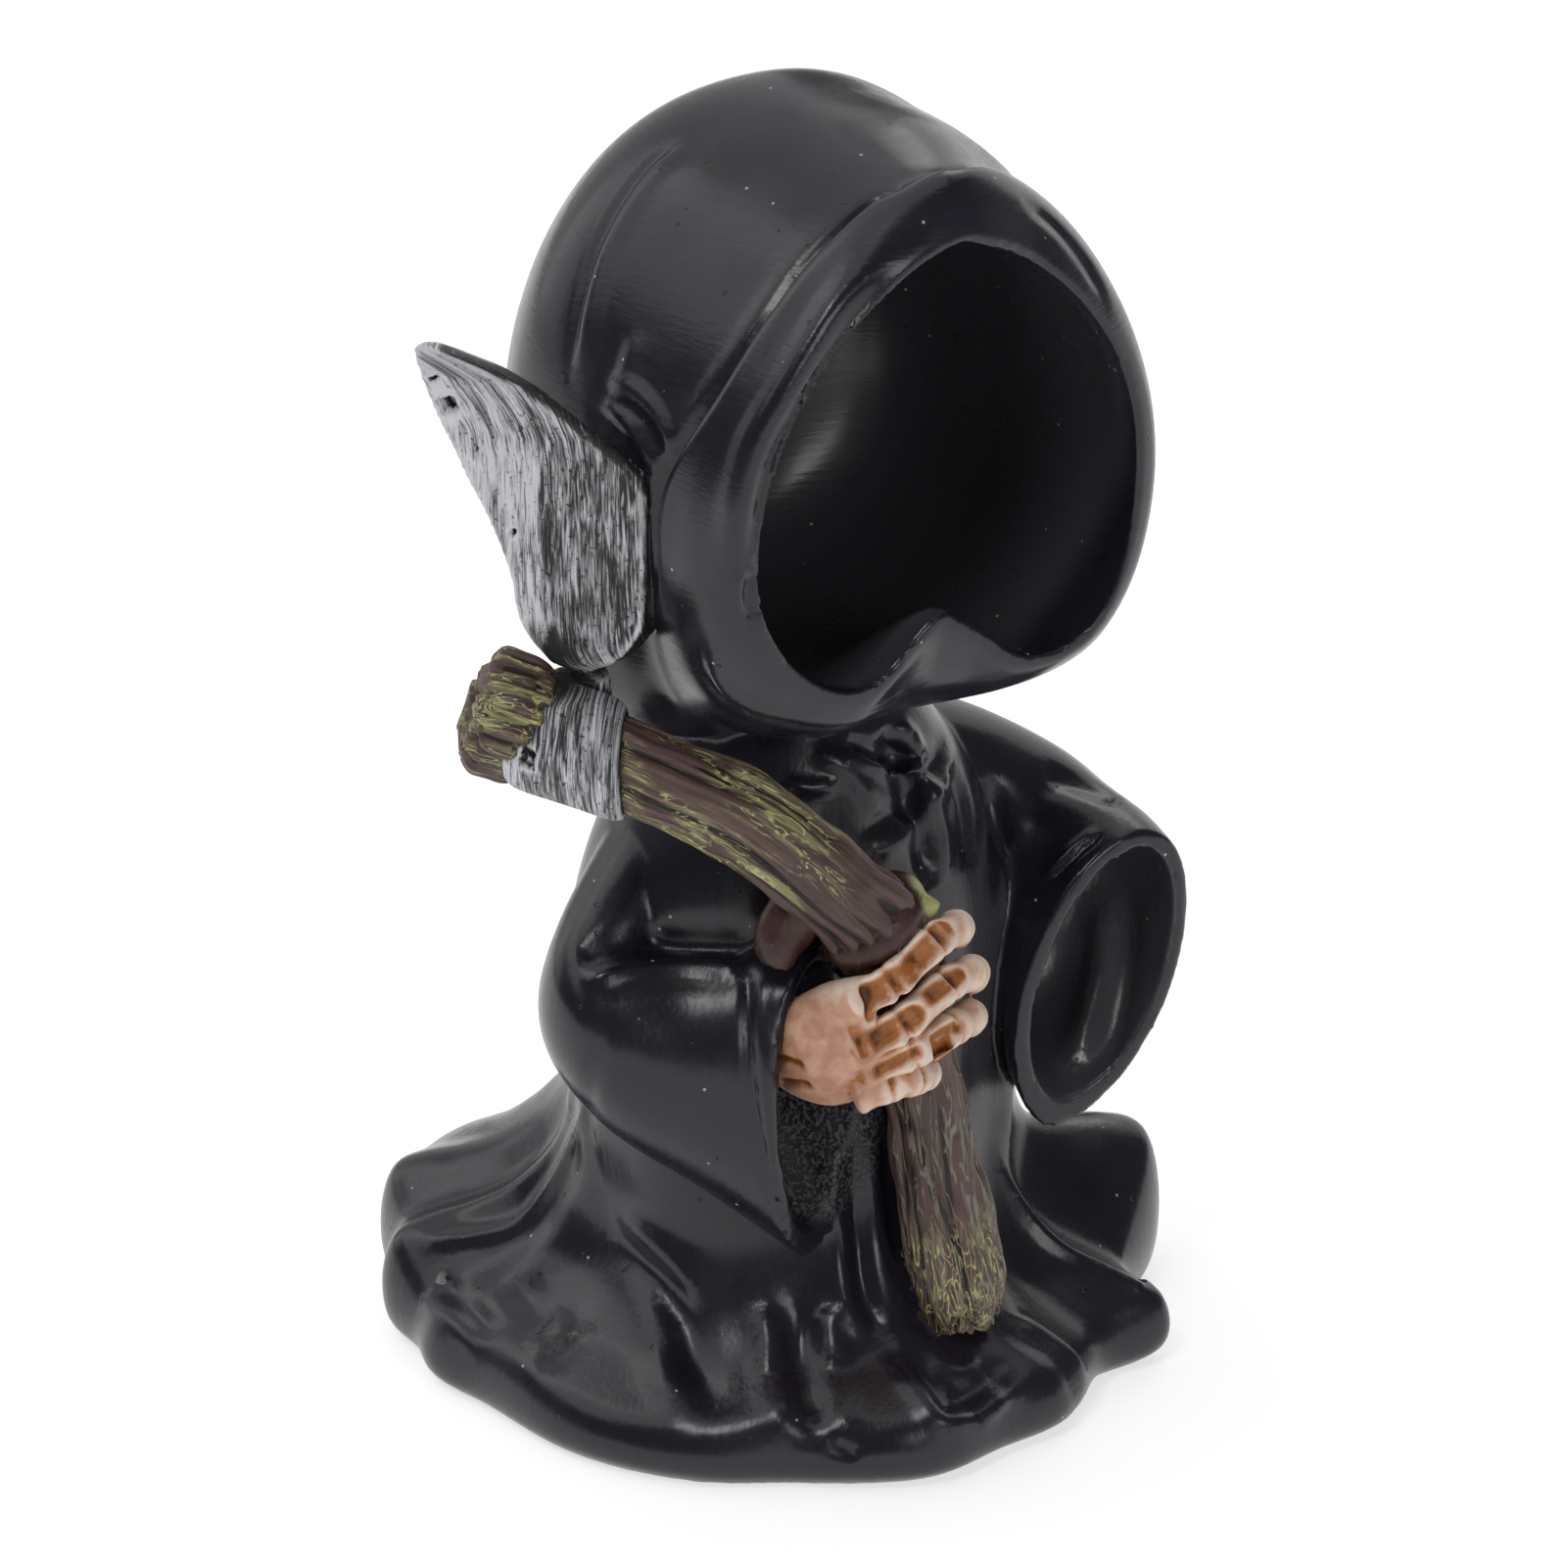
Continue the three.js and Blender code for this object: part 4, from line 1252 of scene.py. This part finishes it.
SLEEVE_STROKES = [
    # the thick edge of the right cuff
    (
        [(764, 985), (764, 1050), (770, 1130), (790, 1220), (808, 1268)],
        [(-0.45, 0, 0.5), (0.25, -1.1, 0.8)],
        (0.15, 0.25),
    ),
    # the fold inside the left sleeve
    (
        [(1120, 900), (1128, 960), (1114, 1040), (1090, 1098)],
        [(1.1, 0, 1.6), (-0.5, -2.4, 1.2)],
        (0.3, 0.3),
    ),
    # the ridge across the right sleeve
    (
        [(590, 1004), (640, 990), (700, 986), (762, 990)],
        [(0.55, 0, 0.9), (-0.5, -2.0, 1.3)],
        (0.2, 0.15),
    ),
    # a crease and a dent at the top of the left sleeve
    ([(1128, 850), (1100, 872), (1068, 905)], [(-0.3, 0, 0.3), (0.3, 0.7, 0.4)], (0.3, 0.3)),
    ([(1062, 790), (1100, 800), (1150, 820)], [(-0.5, 0, 1.2)], (0.3, 0.3)),
]
CHEST_STROKES = [
    # creases under the chin and down the chest
    ([(860, 752), (905, 770), (948, 775)], [(-0.6, 0, 0.6), (0.5, 1.2, 0.6)], (0.3, 0.3)),
    (
        [(900, 742), (922, 790), (942, 850), (950, 910)],
        [(-1.1, 0, 1.2), (0.6, -1.9, 0.9)],
        (0.2, 0.25),
    ),
    ([(1008, 790), (1016, 850), (1012, 940)], [(-0.7, 0, 1.1)], (0.35, 0.3)),
    (
        [(978, 770), (958, 808), (925, 850), (880, 875)],
        [(0.5, 0, 1.1), (-0.5, 1.8, 0.9)],
        (0.35, 0.25),
    ),
    ([(830, 765), (870, 790), (900, 830)], [(0.5, 0, 0.9)], (0.3, 0.3)),
    ([(800, 800), (830, 804), (860, 800)], [(0.4, 0, 0.6)], (0.3, 0.3)),
    ([(968, 775), (985, 820), (990, 890)], [(-0.6, 0, 1.0)], (0.35, 0.3)),
]
for path, lobes, fades in HOOD_STROKES + ROBE_STROKES + SLEEVE_STROKES + CHEST_STROKES:
    stroke(cloth, path, lobes, fades)

# The whole casting. The cloth, the metal and the hand are thinned to keep it under 200,000 triangles

CLOTH_TRIANGLES = 96000
METAL_SHARE = 0.42
HAND_SHARE = 0.62
cloth.data.materials.clear()
cloth.data.materials.append(black)
settled(cloth, "DECIMATE", ratio=CLOTH_TRIANGLES / (2 * len(cloth.data.polygons)))
for other, share in ((staff, 1), (metal, METAL_SHARE), (hand, HAND_SHARE)):
    if share < 1:
        settled(other, "DECIMATE", ratio=share)
    combine(cloth, other, "UNION")
casting = cloth
casting.name = casting.data.name = "painted_casting"


# Where the hand and the staff lie, where the blade's foot and the collar end, and how far off these
# count from the blade's edges

STAFF_SIDE = 8
HAND_FRONT = -17
HAND_HEIGHT = 36
HAND_REACH = 10
FOOT_TOP = 65.6
FOOT_BOTTOM = 64.8
COLLAR_TOP = 70
COLLAR_PROUD = (2.0, 2.4)
FAR_OFF = 8
PAINTED_LIGHT_HOLLOWS = [
    # the middles of the hood's hollow and of the left sleeve's, and how far out each reaches, for the
    # painted light in them
    ((0.3, -6.0, 80.0), 24.0),
    ((20.0, -14.0, 33.5), 15.0),
]


def staff_runs(points):
    """How far each point lies across the staff, two ways, and along it."""
    t = np.linspace(0, 1, 400)
    line = through(STAFF_LINE, t)
    far = np.concatenate([[0], np.cumsum(np.linalg.norm(np.diff(line, axis=0), axis=1))])
    along = unit(np.gradient(line, axis=0))
    side = unit(np.cross(ACROSS_THE_STAFF, along))
    up = np.cross(along, side)
    batches = [points[start : start + BATCH, None] for start in range(0, len(points), BATCH)]
    j = np.concatenate([((batch - line[None]) ** 2).sum(2).argmin(1) for batch in batches])
    gap = points - line[j]
    return np.stack([(gap * side[j]).sum(1), (gap * up[j]).sum(1), far[j] + (gap * along[j]).sum(1)], 1)


def blade_runs(points):
    """How far each point lies past the bevel's ridge, from the inner rim, and its height.

    The collar and the blade's foot count as far from both.
    """
    across = (points[:, :2] - BLADE_CORNER) @ BLADE_OUT[:2]
    rows = np.array(BLADE)
    ridge = np.interp(points[:, 2], rows[:, 0], rows[:, 2])
    inner = np.interp(points[:, 2], rows[:, 0], rows[:, 1])
    proud = (points - [*BLADE_CORNER, 0]) @ BLADE_FACE
    height = points[:, 2]
    foot = smooth(-height, -FOOT_TOP, -FOOT_BOTTOM)
    collar = smooth(proud, *COLLAR_PROUD) * (height < COLLAR_TOP)
    lower = np.maximum(foot, collar)
    return np.stack([across - ridge - FAR_OFF * lower, across - inner + FAR_OFF * lower, height], 1)


def keep_values(mesh, name, values):
    mesh.attributes.new(name, "FLOAT", "POINT").data.foreach_set("value", values.astype(np.float32))


def keep_vectors(mesh, name, values):
    vectors = mesh.attributes.new(name, "FLOAT_VECTOR", "POINT")
    vectors.data.foreach_set("vector", values.astype(np.float32).ravel())


def metallic_points(mesh):
    """Which vertices belong to faces with the silver paint."""
    slots = np.empty(len(mesh.polygons), np.int32)
    mesh.polygons.foreach_get("material_index", slots)
    silver_slot = mesh.materials.find(silver.name)
    chosen = np.zeros(len(mesh.vertices), bool)
    for face, slot in zip(mesh.polygons, slots):
        if slot == silver_slot:
            chosen[list(face.vertices)] = True
    return chosen


def mark(mesh):
    """Keeps what the paints read.

    That is how hollow the surface is, how deep the strokes went into the hand, what faces the middle of
    a hollow, where the black paint gets its painted light, and the runs along the staff and the blade.
    """
    points = places(mesh)
    normals = facings(mesh)
    keep_values(mesh, "hollow", ((rounded_off(mesh, 12) - points) * normals).sum(1))
    deep = np.zeros(len(points))
    in_front = (points[:, 1] < HAND_FRONT) & (points[:, 0] < STAFF_SIDE)
    beside_hand = in_front & (np.abs(points[:, 2] - HAND_HEIGHT) < HAND_REACH)
    for i in np.nonzero(beside_hand)[0]:
        deep[i] = plain_hand.find_nearest(Vector(points[i]))[3]
    keep_values(mesh, "deep", deep)
    # Painted light: how much each vertex faces the middle of the hood's hollow or the left sleeve's,
    # which lightens the black paint there.
    inside = np.zeros(len(points))
    for centre, reach in PAINTED_LIGHT_HOLLOWS:
        way = np.array(centre) - points
        far = np.linalg.norm(way, axis=1)
        turned = (way * normals).sum(1) / np.maximum(far, 0.1)
        inside = np.maximum(inside, smooth(turned, 0.0, 0.4) * smooth(-far, -reach, 2 - reach))
    keep_values(mesh, "inside", inside)
    run = np.zeros((len(points), 3))
    near = (points[:, 0] < STAFF_SIDE) & (points[:, 1] < 0)
    run[near] = staff_runs(points[near])
    metallic = metallic_points(mesh)
    run[metallic] = blade_runs(points[metallic])
    if "run" in mesh.attributes:
        mesh.attributes.remove(mesh.attributes["run"])
    keep_vectors(mesh, "run", run)


mark(casting.data)
casting.data.transform(Matrix.Scale(METRES_PER_MM, 4))
casting.data.polygons.foreach_set("use_smooth", np.ones(len(casting.data.polygons), bool))
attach(casting, "root")
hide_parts("reaper_figurine")

# The floor, the lights and the camera

FLOOR_HALF = 2
FLOOR_GLOW = 0.67
SURROUNDING_LIGHT = 0.12
corners = [(-1, -1), (1, -1), (1, 1), (-1, 1)]
floor = new_piece("floor", [(FLOOR_HALF * x, FLOOR_HALF * y, 0) for x, y in corners], [(0, 1, 2, 3)])
white_paper, _, paper_shader = paint("white_paper", Roughness=0.9)
paper_shader.inputs["Base Color"].default_value = linear("bebebe")
paper_shader.inputs["Emission Color"].default_value = (1, 1, 1, 1)
paper_shader.inputs["Emission Strength"].default_value = FLOOR_GLOW
floor.data.materials.append(white_paper)
bpy.context.scene.view_settings.view_transform = "Standard"

world = bpy.data.worlds.new("studio")
world.use_nodes = True
world.node_tree.nodes["Background"].inputs["Color"].default_value = (1, 1, 1, 1)
world.node_tree.nodes["Background"].inputs["Strength"].default_value = SURROUNDING_LIGHT
bpy.context.scene.world = world

LIGHTS_AIM = (0, 0, 0.05)
SOFTBOXES = [
    # name, azimuth and elevation in degrees, distance and sizes in metres, watts
    ("left softbox", -119, 47, 1.0, (0.8, 0.6), 1.75),
    ("back left softbox", -152, 26, 1.0, (0.5, 0.9), 1.1),
    ("right softbox", 116, 26, 1.0, (0.7, 1.0), 2.0),
    ("high right softbox", 124, 42, 0.9, (0.3, 0.3), 0.5),
    ("back softbox", 175, 28, 1.0, (1.2, 1.0), 2.0),
    ("top softbox", 175, 80, 1.0, (1.1, 1.0), 2.7),
    ("small softbox", -60, 55, 0.8, (0.2, 0.25), 1.3),
    ("front softbox", -5, 20, 0.9, (0.35, 0.3), 1.2),
]


def softbox(name, azimuth, elevation, distance, size, power):
    """A soft light that points at the middle of the figurine."""
    data = bpy.data.lights.new(name, "AREA")
    data.shape = "RECTANGLE"
    data.size, data.size_y = size
    data.energy = power
    light = bpy.data.objects.new(name, data)
    a, e = math.radians(azimuth), math.radians(elevation)
    back = Vector((math.sin(a) * math.cos(e), -math.cos(a) * math.cos(e), math.sin(e)))
    light.location = Vector(LIGHTS_AIM) + back * distance
    light.rotation_euler = (-back).to_track_quat("-Z", "Y").to_euler()
    bpy.context.scene.collection.objects.link(light)


for softbox_row in SOFTBOXES:
    softbox(*softbox_row)

SENSOR_WIDTH = 36
camera = bpy.data.objects.new("camera", bpy.data.cameras.new("camera"))
camera.location = Vector(EYE * METRES_PER_MM)
camera.rotation_euler = Vector(-BACK).to_track_quat("-Z", "Y").to_euler()
camera.data.sensor_width = SENSOR_WIDTH
camera.data.lens = SENSOR_WIDTH * DISTANCE / (MM_PER_PIXEL * PICTURE)
camera.data.clip_start = 0.01
bpy.context.scene.collection.objects.link(camera)
bpy.context.scene.camera = camera
